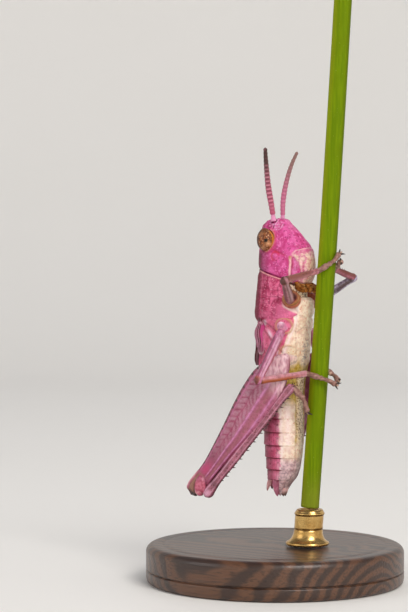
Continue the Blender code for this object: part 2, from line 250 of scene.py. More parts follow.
def sweep(path, inner, out, into, half, columns=32, square=2):
    """A tube round a path; out, into and half are its three reaches."""
    turn = turns(columns)[0]
    c = signed_power(np.cos(turn), 2 / square)
    s = signed_power(np.sin(turn), 2 / square)
    _, inners, side = line_frame(path, inner)
    out, into, half = (np.broadcast_to(v, len(path))[:, None]
        for v in (out, into, half))
    return (path[:, None] + inners[:, None] * (np.where(c > 0, into, out)
                                           * c)[..., None]
        + side[:, None] * (half * s)[..., None])


def run_along(path):
    """Length run so far at each point of a path."""
    return np.concatenate([[0], np.cumsum(np.linalg.norm(
        np.diff(path, axis=0), axis=1))])


def resample(points, count):
    """A smooth line of evenly spaced points through a few."""
    points = np.asarray(points, float)
    fine = curve(np.arange(len(points)), points,
        np.linspace(0, len(points) - 1, 400))
    run = run_along(fine)
    at = np.linspace(0, run[-1], count)
    return np.stack([np.interp(at, run, fine[:, k]) for k in range(3)], 1)


print("a bend's length", run_along(resample(
    [(0, 0, 0), (1, 0, 0), (1, 1, 0)], 40))[-1].round(2))

# %% [markdown]
# ## From grids to pieces
# Blender needs corners and faces. Each grid becomes quads, a tube gets fans
# over its two ends, and a thin plate gets a rim. Solid pieces like these
# export well, which a plate without thickness would not. The masks go along as
# point attributes, and the materials read them by name.

# %% Faces of a grid
def grid_faces(rows, columns, wrap, first=0):
    """Quads of a grid whose points are stored row by row."""
    last = columns if wrap else columns - 1
    row, column = np.meshgrid(np.arange(rows - 1), np.arange(last),
        indexing="ij")
    a = row * columns + column
    b = row * columns + (column + 1) % columns
    quads = np.stack([a, b, b + columns, a + columns], -1).reshape(-1, 4)
    return quads + first


def facing_out(points, faces):
    """The same faces, turned so that a closed mesh faces out."""
    total = 0
    for size in (3, 4):
        part = np.array([f for f in faces if len(f) == size])
        for k in range(1, size - 1) if len(part) else ():
            total += np.einsum("ij,ij->i", points[part[:, 0]], np.cross(
                points[part[:, k]], points[part[:, k + 1]])).sum()
    return faces if total > 0 else [f[::-1] for f in faces]


def closed(grid):
    """Points and faces of a tube whose two ends are closed by fans."""
    rows, columns = grid.shape[:2]
    points = np.concatenate([grid.reshape(-1, 3),
        grid[0].mean(0)[None], grid[-1].mean(0)[None]])
    faces = grid_faces(rows, columns, True).tolist()
    last = (rows - 1) * columns
    for k in range(columns):
        after = (k + 1) % columns
        faces.append([after, k, rows * columns])
        faces.append([last + k, last + after, rows * columns + 1])
    return points, facing_out(points, faces)

# %% One mesh with its masks
def mesh_piece(name, points, faces, masks, material, body="root"):
    """A smooth mesh in metres with its masks as point attributes."""
    mesh = bpy.data.meshes.new(name)
    mesh.from_pydata((points + (BODY_X, 0, 0)) / MM, [], faces)
    mesh.shade_smooth()
    for word, values in masks.items():
        layer = mesh.attributes.new(word, "FLOAT", "POINT")
        layer.data.foreach_set("value", np.asarray(values, np.float32))
    mesh.materials.append(material)
    made = bpy.data.objects.new(name, mesh)
    bpy.context.scene.collection.objects.link(made)
    print(name, len(faces), "faces")
    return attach(made, body)


def joined(name, parts, material):
    """Closed tubes as one piece; a part is a grid and its masks."""
    points, faces, flat = [], [], {}
    first = 0
    for grid, masks in parts:
        some, quads = closed(grid)
        points.append(some)
        faces += [[k + first for k in f] for f in quads]
        first += len(some)
        for word, values in masks.items():
            values = np.broadcast_to(values, grid.shape[:2])
            flat.setdefault(word, []).append(np.concatenate([
                values.reshape(-1), [values[0].mean(), values[-1].mean()]]))
    flat = {word: np.concatenate(values) for word, values in flat.items()}
    return mesh_piece(name, np.concatenate(points), faces, flat, material)


def tube_piece(name, grid, masks, material):
    """A closed tube as a piece; masks are grids or plain numbers."""
    return joined(name, [(grid, masks)], material)

# %% Thin plates
def shell_piece(name, outer, inner, masks, material):
    """A thin plate between two open grids, closed round its rim."""
    rows, columns = outer.shape[:2]
    count = rows * columns
    points = np.concatenate([outer.reshape(-1, 3), inner.reshape(-1, 3)])
    faces = grid_faces(rows, columns, False).tolist()
    faces += grid_faces(rows, columns, False, count)[:, ::-1].tolist()
    rim = ([k for k in range(columns)]
        + [r * columns + columns - 1 for r in range(1, rows)]
        + [count - columns + k for k in range(columns - 2, -1, -1)]
        + [r * columns for r in range(rows - 2, 0, -1)])
    for a, b in zip(rim, rim[1:] + rim[:1]):
        faces.append([b, a, a + count, b + count])
    flat = {word: np.tile(np.broadcast_to(v, (rows, columns)).reshape(-1), 2)
        for word, v in masks.items()}
    return mesh_piece(name, points, facing_out(points, faces), flat, material)

# %% [markdown]
# ## Materials
# An insect's colour lies in its shell, not on it, and no two spots are quite
# alike. A flat colour would look like plastic, and painted images are not used
# here. So each finish is a tree of nodes: noise for blotches, cells for pits,
# and the masks for markings. Three short classes build such a tree. Everything
# in it is measured in millimetres, so that grain has its real size.

# %% Nodes and links
def linear(colour):
    """An sRGB colour of 0 to 255 as Blender's linear colour."""
    share = np.asarray(colour, float) / 255
    value = np.where(share <= .04045, share / 12.92,
        ((share + .055) / 1.055) ** 2.4)
    return (*value.tolist(), 1)


def darker(colour, share):
    """A colour with every channel multiplied by a share."""
    return tuple(int(v * share) for v in colour)


class Tree:
    """The node tree of one Principled material."""

    def __init__(self, name, rough=.45, coat=0, metal=0, scatter=0,
                 shine=.5):
        self.made = bpy.data.materials.new(name)
        self.made.use_nodes = True
        self.tree = self.made.node_tree
        self.shader = self.tree.nodes["Principled BSDF"]
        plain = {"Roughness": rough, "Metallic": metal, "Coat Weight": coat,
            "Coat Roughness": .25, "Specular IOR Level": shine}
        if scatter:             # light that enters a thin shell and spreads
            plain.update({"Subsurface Weight": scatter,
                "Subsurface Radius": (1, .45, .4),
                "Subsurface Scale": .0003})
        for word, value in plain.items():
            self.shader.inputs[word].default_value = value
        place = self.add("ShaderNodeTexCoord").outputs["Object"]
        self.mm = self.vector("SCALE", place, scale=MM)
        self.heights = []

    def add(self, kind, **settings):
        node = self.tree.nodes.new(kind)
        for word, value in settings.items():
            setattr(node, word, value)
        return node

    def put(self, socket, value):
        """Link a socket or set a plain value."""
        if isinstance(value, bpy.types.NodeSocket):
            self.tree.links.new(value, socket)
        else:
            socket.default_value = value

    def vector(self, operation, a, b=None, scale=None):
        node = self.add("ShaderNodeVectorMath", operation=operation)
        self.put(node.inputs[0], a)
        if b is not None:
            self.put(node.inputs[1], b)
        if scale is not None:
            node.inputs["Scale"].default_value = scale
        return node.outputs["Vector"]

    def maths(self, operation, a, b):
        node = self.add("ShaderNodeMath", operation=operation)
        self.put(node.inputs[0], a)
        self.put(node.inputs[1], b)
        return node.outputs[0]

# %% Patterns
class Patterns(Tree):
    """Noise, cells and masks, and the ranges that shape them."""

    def noise(self, size, detail=3, stretch=(1, 1, 1)):
        """Soft noise whose blobs are about `size` millimetres."""
        node = self.add("ShaderNodeTexNoise")
        node.inputs["Scale"].default_value = 1 / size
        node.inputs["Detail"].default_value = detail
        self.put(node.inputs["Vector"],
            self.vector("MULTIPLY", self.mm, stretch))
        return node.outputs["Fac"]

    def cells(self, size):
        """Distance from the middles of cells about `size` across."""
        node = self.add("ShaderNodeTexVoronoi", feature="F1")
        node.inputs["Scale"].default_value = 1 / size
        self.put(node.inputs["Vector"],
            self.vector("MULTIPLY", self.mm, (1, 1, 1)))
        return node.outputs["Distance"]

    def mask(self, word):
        node = self.add("ShaderNodeAttribute", attribute_name=word)
        return node.outputs["Fac"]

    def span(self, value, low, high, to_low=0, to_high=1):
        """Stretch low..high of a value to a new range."""
        node = self.add("ShaderNodeMapRange", interpolation_type="SMOOTHSTEP")
        self.put(node.inputs["Value"], value)
        for word, number in (("From Min", low), ("From Max", high),
                             ("To Min", to_low), ("To Max", to_high)):
            node.inputs[word].default_value = number
        return node.outputs["Result"]

    def patchy(self, word, size, low, high, least, most=1, detail=3,
               stretch=(1, 1, 1)):
        """A mask that noise breaks up, from least to most of its strength."""
        return self.maths("MULTIPLY", self.mask(word), self.span(
            self.noise(size, detail, stretch), low, high, least, most))

# %% Colours and relief
class Look(Patterns):
    """Colours mixed over each other, and bumps, as one finished material."""

    def mix(self, factor, a, b):
        """Blend two colours; plain ones are sRGB 0 to 255."""
        node = self.add("ShaderNodeMix", data_type="RGBA")
        self.put(node.inputs[0], factor)
        for socket, value in ((node.inputs[6], a), (node.inputs[7], b)):
            self.put(socket, value if isinstance(value, bpy.types.NodeSocket)
                else linear(value))
        return node.outputs[2]

    def blotch(self, a, b, size, low, high, most=1, detail=3,
               stretch=(1, 1, 1)):
        """Colour a with blotches of colour b."""
        return self.mix(self.span(self.noise(size, detail, stretch), low,
            high, 0, most), a, b)

    def paint(self, colour, **coats):
        """Lay one coat over another; each is named for its mask."""
        for word, coat in coats.items():
            colour = self.mix(self.mask(word), colour, coat)
        return colour

    def relief(self, height, depth):
        """Add a height, in millimetres for each unit of its value."""
        self.heights.append(self.maths("MULTIPLY", height, depth))

    def finish(self, colour, rough=None):
        self.put(self.shader.inputs["Base Color"], colour)
        if rough is not None:
            self.put(self.shader.inputs["Roughness"], rough)
        if self.heights:
            total = self.heights[0]
            for height in self.heights[1:]:
                total = self.maths("ADD", total, height)
            bump = self.add("ShaderNodeBump")
            bump.inputs["Distance"].default_value = 1 / MM
            bump.inputs["Strength"].default_value = 1
            self.put(bump.inputs["Height"], total)
            self.put(self.shader.inputs["Normal"], bump.outputs["Normal"])
        print("material", self.made.name, len(self.tree.nodes), "nodes")
        return self.made


def pitted(look, depth, size):
    """Fine pits and wrinkles of a hopper's shell; gives the pits' mask."""
    pit = look.span(look.cells(size), .1, .34, 1, 0)
    look.relief(pit, -depth)
    look.relief(look.noise(.05, 2), depth * .5)
    return pit

# %% [markdown]
# ## The head's shell
# A hopper's head is one hard, pitted capsule, pink here, with a cream lip and
# dark folds. A painter would lay washes over each other, and the material does
# the same: two pinks, deeper pits, then each marking.

# %% Material of the head
look = Look("head_cuticle", rough=.46, coat=.04, scatter=.1, shine=.3)
pit = pitted(look, .022, .18)
fine = look.span(look.cells(.1), .08, .3, 1, 0)
look.relief(fine, -.008)
pink = look.blotch((194, 52, 120), (220, 92, 160), .4, .36, .66)
pink = look.blotch(pink, (240, 132, 192), .15, .52, .7, .7, detail=2)
pink = look.mix(look.maths("MULTIPLY", pit, .75), pink, (146, 18, 82))
pink = look.mix(look.maths("MULTIPLY", fine, .38), pink, (166, 32, 96))
# dark marks feeler sockets and slits, and darkens the back of the head partly
# as painted shade
pink = look.paint(pink, red=(206, 48, 84), dark=(96, 16, 34))
# lilac and white are pale colour with painted highlights on ridges, jaw and
# lip
lilac = look.patchy("lilac", .12, .36, .6, .25)
pink = look.mix(lilac, pink, (222, 168, 204))
cream = look.blotch((240, 212, 196), (220, 144, 164), .16, .42, .6, detail=2)
cream = look.blotch(cream, (186, 128, 82), .09, .6, .72, .7, detail=1)
colour = look.paint(pink, pale=cream, white=(252, 226, 212),
    tan=(196, 150, 96), groove=(140, 40, 72))
HEAD_LOOK = look.finish(colour)

# %% [markdown]
# ## The head's size
# The capsule is an egg, flat in front and widest at the eyes. A ball could be
# sculpted to that, but it must fit the collar. So its rings are cut from the
# head's solid, and a dome and a tucked-in neck close them. The lower rings
# fall forward, as the neck does.

# %% Sizes of the head
NECK_FALL = .304                # fall of the neck towards the belly
HEAD_SQUARE = 2.4               # 2 is an ellipse, more is squarer
EYE_MIDDLE = middle_of("eye_left")
EYE_REACH = np.ptp(cad("eye_left")[0], axis=0) / 2 * (1.02, 1.02, 1.05)
FEELER_ROOT = np.array([-.31, .49, 21])
LIP_TOP = 19.42                 # height of the seam above the lip
print("eye", EYE_MIDDLE.round(2), "reach", EYE_REACH.round(2))

# %% Plain egg of the head
def head_fall(height):
    """How steeply a ring of the head falls towards the belly."""
    return NECK_FALL * np.clip((19.3 - height) / .98, 0, 1) ** 1.3


def head_grid(columns=230, rows=180):
    """The head's plain egg, from the top of its dome down into the collar."""
    stations = np.array([18.34, 18.5, 18.75, 19, 19.25, 19.55, 19.9, 20.2,
        20.5, 20.75, 20.95])
    cuts = np.array([outline_at(["head"], h, head_fall(h)) for h in stations])
    turn = turns(columns)
    dome, tuck = np.linspace(.03, 1, 18), np.linspace(0, 1, 9)[1:]
    shrink = np.concatenate([np.sin(dome * math.pi / 2), np.ones(rows),
        1 - .2 * tuck])
    height = np.concatenate([
        np.full(18, stations[-1]),
        np.linspace(stations[-1], stations[0], rows + 1)[1:],
        stations[0] - .22 * tuck])
    lift = np.concatenate([.17 * np.cos(dome * math.pi / 2),
        np.zeros(rows + 8)])
    back, front, half = curve(stations, cuts, height).T[:, :, None]
    middle = (back + front) / 2
    x, y = egg(turn, back, front, half, HEAD_SQUARE)
    x = middle + (x - middle) * shrink[:, None]
    y = y * shrink[:, None]
    z = (height + lift)[:, None] - head_fall(height)[:, None] * (
        x - NECK_BACK)
    return np.stack([x, y, z], -1), np.broadcast_to(turn, x.shape)


head_points, head_turn = head_grid()
print("head points", head_points.shape)

# %% [markdown]
# ## Face and lip
# Down the face runs a grooved ridge with a small single eye. Below a seam hang
# the two plates of the upper lip, the lower one notched. They could be carved
# with a brush. Here each is a curve of the distance from the middle line, so
# both halves come out alike, and relief and paint share the same curve.

# %% Ridge of the face
def face_ridge(side, z, face, seam_at):
    """The hollow ridge with its small eye, and a fine ridge beside it."""
    above = ease(z, seam_at, seam_at + .12) * face
    width = .15 + .05 * (20.9 - z)
    beside = .36 + .36 * ease(z, 20.7, 19.4)
    fine = hump(side - beside, .05) * above * ease(z, 20.8, 20.6)
    lift = (.055 * above * ease(side, width + .04, width - .04)
        - .045 * above * hump(side, .07) * ease(z, 19.7, 20.2)
        + .03 * dot(side, z - 20.42, .06) * face + .02 * fine)
    # lilac along the ridges is partly painted highlight
    lilac = .12 * fine + .3 * above * ease(
        side, width + .1, width) * ease(z, 20.2, 20.6)
    return lift, lilac

# %% Plates of the lip
LIP_HALF = .86                  # half the run of the seam above the lip


def lip_seam(side):
    """Height of the seam above the lip, which sinks towards the sides."""
    return LIP_TOP - .17 * (side / LIP_HALF) ** 2


def lip_plates(side, z, face):
    """The upper plate, then the lower one with its notched end."""
    seam_at = lip_seam(side)
    half = curve([17.6, 18.3, 18.75, 19, 19.3], [.74, .8, .9, .95, .8], z)
    on_lip = ease(side, half + .03, half - .03) * face * ease(
        z, seam_at + .02, seam_at - .02)
    low_seam = seam_at - .42
    lower = on_lip * ease(z, low_seam + .05, low_seam - .05)
    edge = hump(side - half, .035) * face * ease(z, seam_at, seam_at - .1)
    run = face * ease(side, .84, .78)
    step = hump(z - low_seam, .035) * on_lip
    lift = (.02 * on_lip - .03 * (hump(z - seam_at, .028) * run + edge)
        - .02 * step + .035 * lower * hump(side, .42) * hump(z - 18.45, .42)
        - .04 * lower * hump(side - .6, .08) * ease(z, 18.8, 18.6)
        - .06 * lower * hump(side, .09) * ease(z, 18.1, 17.7))
    pale = on_lip * (.22 + .7 * ease(z, seam_at - .16, seam_at - .34)) * (
        1 - .6 * hump(side - .64, .1) * ease(z, 18.75, 18.55))
    # white: pale lines, and painted highlights along the plates' edges
    white = (.55 * hump(z - seam_at + .03, .02) * run
        + .4 * hump(side - half, .03) * face * between(
            z, 18.8, 18.95, 19.2, 19.3)
        + .75 * lower * hump(side - .76, .035) * hump(z - 18.42, .14)
        + .3 * lower * hump(side, .12))
    marks = {"pale": pale, "white": white,
        "groove": (.25 * step + .3 * edge * ease(z, 18.9, 18.7)) * face,
        "tan": .35 * lower * ease(side, .55, .3) * ease(
            z, 18.9, 18.7)}
    return lift, marks, on_lip


print("lip seam at", lip_seam(np.array([0, LIP_HALF])).round(2))

# %% [markdown]
# ## Cheek
# Below the eye the capsule divides into cheek and jaw, parted by a pale line,
# with a round swelling and a dark fold. These forms lie on the side, so they
# are placed by distance to the front and by height.

# %% Cheek and jaw
def cheek_marks(x, side, z, face):
    """The jaw and the cheek, parted by a pale line below the eye."""
    off = x - 1.11 - .05 * hump(z - 18.45, .4) - .22 * ease(z, 18.74, 19)
    on_side = ease(side, .7, .8) * ease(z, 19, 18.9) * ease(x, .6, .8)
    jaw = on_side * ease(off, .08, .14) * face
    line = hump(off, .05) * ease(z, 18.86, 18.7)
    lift = on_side * (.035 * line - .05 * hump(off - .1, .03)
        - .02 * hump(off + .1, .03))
    lift += .04 * jaw * hump(off - .26, .12)
    along = np.clip((x + .15) / 1.05, 0, 1)
    below = hump(z - 19.36 + .44 * along, .05) * ease(side, .6, .8)
    below = below * between(x, -.25, .05, .8, 1)
    lift -= .022 * below
    ring = np.hypot(x - .18, z - 18.93)
    on_cheek = ease(side, .6, .8)
    lift += .045 * ease(ring, .34, .1) * on_cheek
    lift -= .016 * hump(ring - .3, .05) * on_cheek
    spot = dot(x - 1.13, (z - 18.84) * .7, .09)
    marks = {
        "white": on_side * .35 * line,
        "pale": .8 * on_side * hump(off, .06) * ease(z, 18.86, 18.7),
        "tan": .85 * on_side * spot,
        "groove": .35 * below + .4 * hump(off - .1, .03) * on_side,
        # lilac strokes on the jaw are painted highlights
        "lilac": jaw * (.45 * hump(off - .26, .09) + .5 * hump(
            off - .42, .04) * ease(z, 18.1, 18.4)),
        "red": (.65 * hump(ring - .24, .08) * ease(x - z, -18.35, -18.9)
                + .25 * hump(ring - .24, .08) + .45 * below) * on_cheek
        + .35 * jaw * ease(off, .24, .12)}
    return lift, marks

# %% Crown of the head
def distance(x, y, z, place):
    """Distance from a place given for the left side."""
    return np.sqrt((x - place[0]) ** 2 + (y - place[1]) ** 2
        + (z - place[2]) ** 2)


def crown_marks(x, side, z, turn):
    """Feeler sockets, small eyes, netted patches and keels of the crown."""
    root = distance(x, side, z, FEELER_ROOT)
    ocellus = distance(x, side, z, (-.5, .62, 20.7))
    patch = ease(np.hypot((x - .02) * .9, z - 20.7), .36, .24) * ease(
        side, .28, .4)
    net = np.clip(hump((x * 7) % 1 - .5, .2)
        + hump((z * 6.5) % 1 - .5, .2), 0, 1)
    slit = hump(x + .22, .035) * between(
        z, 20.48, 20.58, 20.76, 20.86) * ease(side, .4, .5)
    crown = ease(np.cos(turn), -.1, -.5)
    lift = (.04 * hump(root - .23, .05) - .08 * hump(root, .13)
        + .03 * hump(ocellus, .06) - .02 * hump(ocellus - .12, .03)
        - .018 * patch * net
        + .03 * hump(side - .34, .05) * crown * ease(z, 20.6, 20.8)
        - .04 * dot(side - .2, z - 20.86, .12) * crown
        + .02 * hump(side, .03) * crown * ease(z, 20.6, 20.3))
    marks = {"dark": .75 * hump(root - .17, .035) + .9 * slit
        + .6 * hump(ocellus - .11, .035),
        # lilac patches on the crown are partly painted highlight
        "lilac": patch * (.75 - .5 * net) * (1 - slit)
        + .45 * hump(root - .25, .05) + .5 * hump(ocellus, .07)}
    return lift, marks

# %% Round the eyes
def eye_ring_marks(x, side, z):
    """The swollen ring round each eye, and the back of the head, darkened
    partly as its own colour and partly as painted shade.
    """
    deep = np.sqrt(((x - EYE_MIDDLE[0]) / EYE_REACH[0]) ** 2
        + ((side - EYE_MIDDLE[1]) / EYE_REACH[1]) ** 2
        + ((z - EYE_MIDDLE[2]) / EYE_REACH[2]) ** 2)
    lift = .05 * hump(deep - 1.08, .1) - .24 * ease(deep, 1, .8)
    behind = ease(z, 19.75, 18.9)
    marks = {
        "tan": hump(deep - 1.07, .07) * (
            .85 * ease(x, -.5, -.2) * ease(z, 19.3, 19.6)
            + .6 * ease(z, 19.6, 19.3) * ease(x, -.7, -.4)),
        # darker back of the head: partly its own colour, partly painted shade
        "dark": .38 * ease(x, -.66, -1) * behind * (
            1 - .8 * ease(side, .8, .3)) + .52 * ease(
                x, 0, -.75) * behind
        + .45 * ease(x, -.7, -1) * ease(z, 20.1, 20.6)
        + .5 * hump(deep - 1.1, .06) * ease(z, 19.7, 19.4) * ease(
            x, -.4, -.8),
        "red": .5 * hump(deep - 1.22, .1) * ease(x, -.5, 0)}
    return lift, marks


def added(*layers):
    """Masks of several layers, added up word by word."""
    marks = {}
    for layer in layers:
        for word, mask in layer.items():
            marks[word] = marks.get(word, 0) + mask
    return marks


def head_marks(x, y, z, turn):
    """Relief in millimetres and masks over the whole head."""
    side = np.abs(y)
    face = ease(np.cos(turn), .05, .35)
    lip, lip_masks, on_lip = lip_plates(side, z, face)
    ridge, lilac = face_ridge(side, z, face, lip_seam(side))
    cheek, cheek_masks = cheek_marks(x, side, z, face)
    ring, ring_masks = eye_ring_marks(x, side, z)
    crown, crown_masks = crown_marks(x, side, z, turn)
    off_lip = {word: mask * (1 - on_lip)
        for word, mask in cheek_masks.items()}
    marks = added(lip_masks, {"lilac": lilac}, off_lip, ring_masks,
        crown_masks)
    return lip + ridge + cheek * (1 - on_lip) + ring + crown, {
        word: np.clip(mask, 0, .95) for word, mask in marks.items()}

# %% [markdown]
# ## Head capsule
# Now the egg is pushed out by the relief. A bump in the material would be
# lighter, but the ridge and the lip show in the outline of the face, so the
# points themselves move.

# %% The head itself
lift, marks = head_marks(*np.moveaxis(head_points, -1, 0), head_turn)
head = tube_piece("head_skin", push(head_points, lift), marks, HEAD_LOOK)
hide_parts("head")
print("highest relief", lift.max().round(3), "mm")

# %% [markdown]
# ## Eyes
# A compound eye is an egg of tiny lenses, brown with darker blotches and one
# dark spot. Modelling each lens would take thousands of faces for something
# finer than a hair. So the egg is smooth, the lenses are a faint bump, and
# yellow edge and dark spot are masks, which stay in place from every side.

# %% Material of the eyes
look = Look("eye", rough=.42, coat=.06, shine=.3)
look.relief(look.cells(.035), .006)
brown = look.blotch((92, 40, 16), (150, 84, 42), .16, .38, .6, detail=2)
brown = look.blotch(brown, (214, 164, 122), .1, .55, .66, .8, detail=2)
brown = look.mix(look.span(look.cells(.11), .14, .42, .92, 0), brown,
    (46, 18, 8))
brown = look.paint(brown, glow=(214, 160, 116), shade=(52, 24, 12),
    rim=(210, 140, 48), pupil=(8, 5, 5))
EYE_LOOK = look.finish(brown)

# %% Eyes
PUPIL = np.array([-.29, 1.38, 19.84])  # the dark spot, on the left eye


def eye(side, word):
    """An egg that is narrower at its top."""
    tip, turn = tips(100, .02), turns(130)
    up = np.cos(tip)
    round_of = np.sqrt(1 - np.abs(up) ** 2.3) * (1 - .2 * ease(up, .1, 1))
    x = (EYE_MIDDLE[0] - .05 * ease(up, 0, 1)
         + EYE_REACH[0] * round_of * np.cos(turn))
    y = EYE_MIDDLE[1] + EYE_REACH[1] * round_of * np.sin(turn)
    z = EYE_MIDDLE[2] + EYE_REACH[2] * up + 0 * turn
    away = distance(x, y, z, PUPIL)
    marks = {
        "pupil": ease(away + .02 * np.sin(x * 60) * np.sin(z * 55), .14, .07),
        "glow": .35 * dot(x + .6, z - 20.25, .15)
        + .75 * dot(x + .2, z - 19.64, .13)
        + .5 * dot(x + .5, z - 19.42, .12),
        "shade": np.clip(.8 * ease(x, -.6, -.92) + .5 * ease(
            z, 20.1, 20.45) * ease(x, -.1, -.5), 0, .9),
        "rim": .9 * ease(y, 1.1, 1) * ease(x, -.42, -.2)
        + .5 * ease(y, 1.08, 1) * ease(z, 19.6, 19.4),
    }
    made = tube_piece(f"eye_{word}_lens", np.stack([x, y * side, z], -1),
        marks, EYE_LOOK)
    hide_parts(f"eye_{word}")
    print("eye", word, "bulges to", np.abs(y).max().round(2))


for side, word in SIDES:
    eye(side, word)

# %% [markdown]
# ## Feelers
# A young hopper's feeler has a thick first joint, a small second one, and a
# thread of short rings that darkens towards its tip. Each ring could be a
# cylinder. One swept tube is lighter and never gapes, so its radius dips at
# every joint, and a mask darkens the dips.

# %% Material of the feelers
def feeler_look(name, low, high):
    """From one colour at the root to another at the tip."""
    look = Look(name, rough=.5, scatter=.1)
    look.relief(look.noise(.05, 2), .01)
    colour = look.mix(look.mask("far"), low, high)
    colour = look.blotch(colour, (190, 112, 130), .2, .45, .7, .25)
    colour = look.paint(colour, ring=(72, 26, 34), band=(226, 164, 178),
        root=(226, 150, 192))
    return look.finish(colour)


FEELER_LOOKS = {
    "right": feeler_look("feeler_near", (178, 74, 108), (58, 32, 22)),
    "left": feeler_look("feeler_far", (192, 98, 136), (146, 108, 100))}

# %% Feelers
FEELER_RINGS = 17               # rings of the thread
SCAPE, PEDICEL = .44, .6        # ends of the first two joints


def feeler(side, word):
    """One tube that is pinched at each joint."""
    node = f"antenna_{word}"
    start = np.array([-.3, .47 * side, 20.8])
    path = resample(middle_line(node, start, 9), 300)
    if word == "left":              # its tip leans out a little more
        path = path + np.array((.1, .08, 0)) * (
            np.linspace(0, 1, 300) ** 2)[:, None]
    run = run_along(path)
    beyond = np.clip((run - PEDICEL) / (run[-1] - PEDICEL), 0, 1)
    ring = beyond * FEELER_RINGS
    dip = hump(ring - np.round(ring), .2) * (beyond > .001)
    thick = 1 if word == "right" else .88
    width = thick * (.158 + .03 * hump(beyond - .3, .22)
        - .04 * ease(beyond, .6, 1))
    width = np.where(run < SCAPE, .17 - .05 * hump(run - SCAPE, .05),
        np.where(run < PEDICEL, .13 - .03 * hump(
            run - PEDICEL, .03), width * (1 - .12 * dip)))
    width *= np.sqrt(np.clip((run[-1] - run) / .1, 0, 1)) * .999 + .001
    dark = dip * ease(beyond, -.05, .3)
    band = hump(np.abs(ring - np.round(ring)) - .5, .16) * (
        beyond > .01) * between(beyond, 0, .25, .55, .85)
    grid = sweep(path, (1, 0, 0), width, width, width * .92, 24)
    # its foot is hidden in the socket
    grid, beyond, dark, band, run = (
        v[run > .2] for v in (grid, beyond, dark, band, run))
    made = tube_piece(f"feeler_{word}", grid, {
        "far": ease(beyond, .25, .85)[:, None],
        "ring": .55 * thick ** 6 * dark[:, None],
        "band": .55 * thick ** 9 * band[:, None],
        "root": .85 * ease(run, PEDICEL + .05, PEDICEL - .05)[:, None]},
        FEELER_LOOKS[word])
    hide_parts(node)
    print("feeler", word, run[-1].round(2), "mm")


for side, word in SIDES:
    feeler(side, word)

# %% [markdown]
# ## Mouthparts
# Under the upper lip hang a split lower lip, a tongue, and two pairs of
# jointed palps that taste the grass. They overlap so closely that one mesh of
# simple closed shapes serves best: two squashed balls and four tubes that
# narrow at their joints.

# %% Material of the mouth
MOUTH = middle_of("mouthparts")


look = Look("mouthparts", rough=.7, scatter=.2, shine=.15)
look.relief(look.noise(.06, 2), .01)
colour = look.blotch((112, 62, 18), (176, 112, 48), .16, .35, .65)
colour = look.paint(colour, joint=(192, 144, 88))
MOUTH_LOOK = look.finish(colour)

# %% Palps and lips
def palp(points, radius):
    """A jointed palp: a tube that narrows at two joints."""
    path = resample(points, 60)
    share = np.linspace(0, 1, 60)
    dip = hump(share - .36, .035) + hump(share - .68, .035)
    width = radius * (1 - .14 * dip) * np.sqrt(
        np.clip((1 - share) / .08, .02, 1))
    return (sweep(path, (1, 0, 0), width, width, width, 18),
        {"joint": (.5 * dip + .8 * ease(share, .85, 1))[:, None]})


def lower_lip():
    """A squashed ball with a split down its front."""
    tip, turn = tips(60, .03), turns(72)
    x = MOUTH[0] - .06 + .44 * np.sin(tip) * np.cos(turn)
    y = MOUTH[1] + .66 * np.sin(tip) * np.sin(turn)
    z = MOUTH[2] + .1 + .36 * np.cos(tip) + 0 * turn
    grid = np.stack([x, y, z], -1)
    front = ease(np.cos(turn), -.2, .4)
    lift = -.1 * hump(y, .05) * front - .04 * hump(
        z - MOUTH[2] - .12, .04) * front
    return push(grid, lift), {"joint": .8 * hump(
        z - MOUTH[2] - .2, .05) * front + .5 * hump(y, .05) * front}


def front_lobe():
    """The tongue-like lobe that fills the space between the palps."""
    tip, turn = tips(30, .03), turns(36)
    return np.stack([1.86 + .24 * np.sin(tip) * np.cos(turn),
                     .34 * np.sin(tip) * np.sin(turn),
                     17.1 + .22 * np.cos(tip) + 0 * turn], -1), {
        "joint": .5 * hump(np.cos(tip) - .2, .2)}

# %% The mouth itself
parts = [lower_lip(), front_lobe()]
for side, word in SIDES:
    parts.append(palp([(1.3, .66 * side, 17.42), (1.66, .8 * side, 17.22),
         (1.9, .66 * side, 17.04), (1.86, .46 * side, 16.86)], .105))
    parts.append(palp([(1.72, .22 * side, 17.28), (1.98, .3 * side, 17.12),
         (2.02, .26 * side, 16.96), (1.9, .16 * side, 16.84)], .09))
mouth = joined("mouth_and_palps", parts, MOUTH_LOOK)
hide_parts("mouthparts")
print("mouth and palps", len(parts), "closed shapes")

# %% [markdown]
# ## The trunk's outline
# Chest and belly are a long barrel, deepest at the hips, that tapers to the
# tail. Modelled ring by ring, they would show gaps in low light. So one skin
# is cut from all the trunk's solids. In front the cuts fall towards the belly,
# as the head's do.

# %% Outline of the trunk
TRUNK_NODES = ["pronotum", "thorax", "abdomen_base", "abdomen_middle",
    "abdomen_tip"]
TRUNK_AT = np.array([5.07, 5.18, 5.35, 5.5, 5.7, 5.9, 6.2, 6.5, 6.9, 7.4,
    8, 8.8, 9.6, 10.4, 11.2, 12, 12.7, 13.3, 14, 14.6,
    15.1, 15.6, 16.1, 16.5, 17.1, 17.6, 18.1])
# heights of the joints between the belly's rings
JOINTS = (12, 11.2, 10.35, 9.55, 8.75, 7.99, 7.27, 6.57, 5.96)


def trunk_fall(height):
    return curve([15.9, 16.4, 16.9, 17.4, 17.9, 18.4],
        [0, 0, .07, .18, .28, .304], height)


CHEST_TOP = 16.55               # the solids' front is open above this
TRUNK_CUTS = np.array([outline_at(TRUNK_NODES, h, trunk_fall(h))
    for h in TRUNK_AT])
TRUNK_CUTS[TRUNK_AT > CHEST_TOP, 1] = TRUNK_CUTS[
    TRUNK_AT < CHEST_TOP, 1][-1]
print("trunk cuts", TRUNK_CUTS.round(2).tolist()[::6])

# %% Rounds of the trunk
def trunk_outline(height):
    """Back, front, half width and squareness at heights."""
    back, front, half = curve(TRUNK_AT, TRUNK_CUTS, height).T
    return back, front, half, curve([5, 8, 12, 14, 18.4],
        [2.1, 2.1, 2.25, 2.4, 2.4], height)


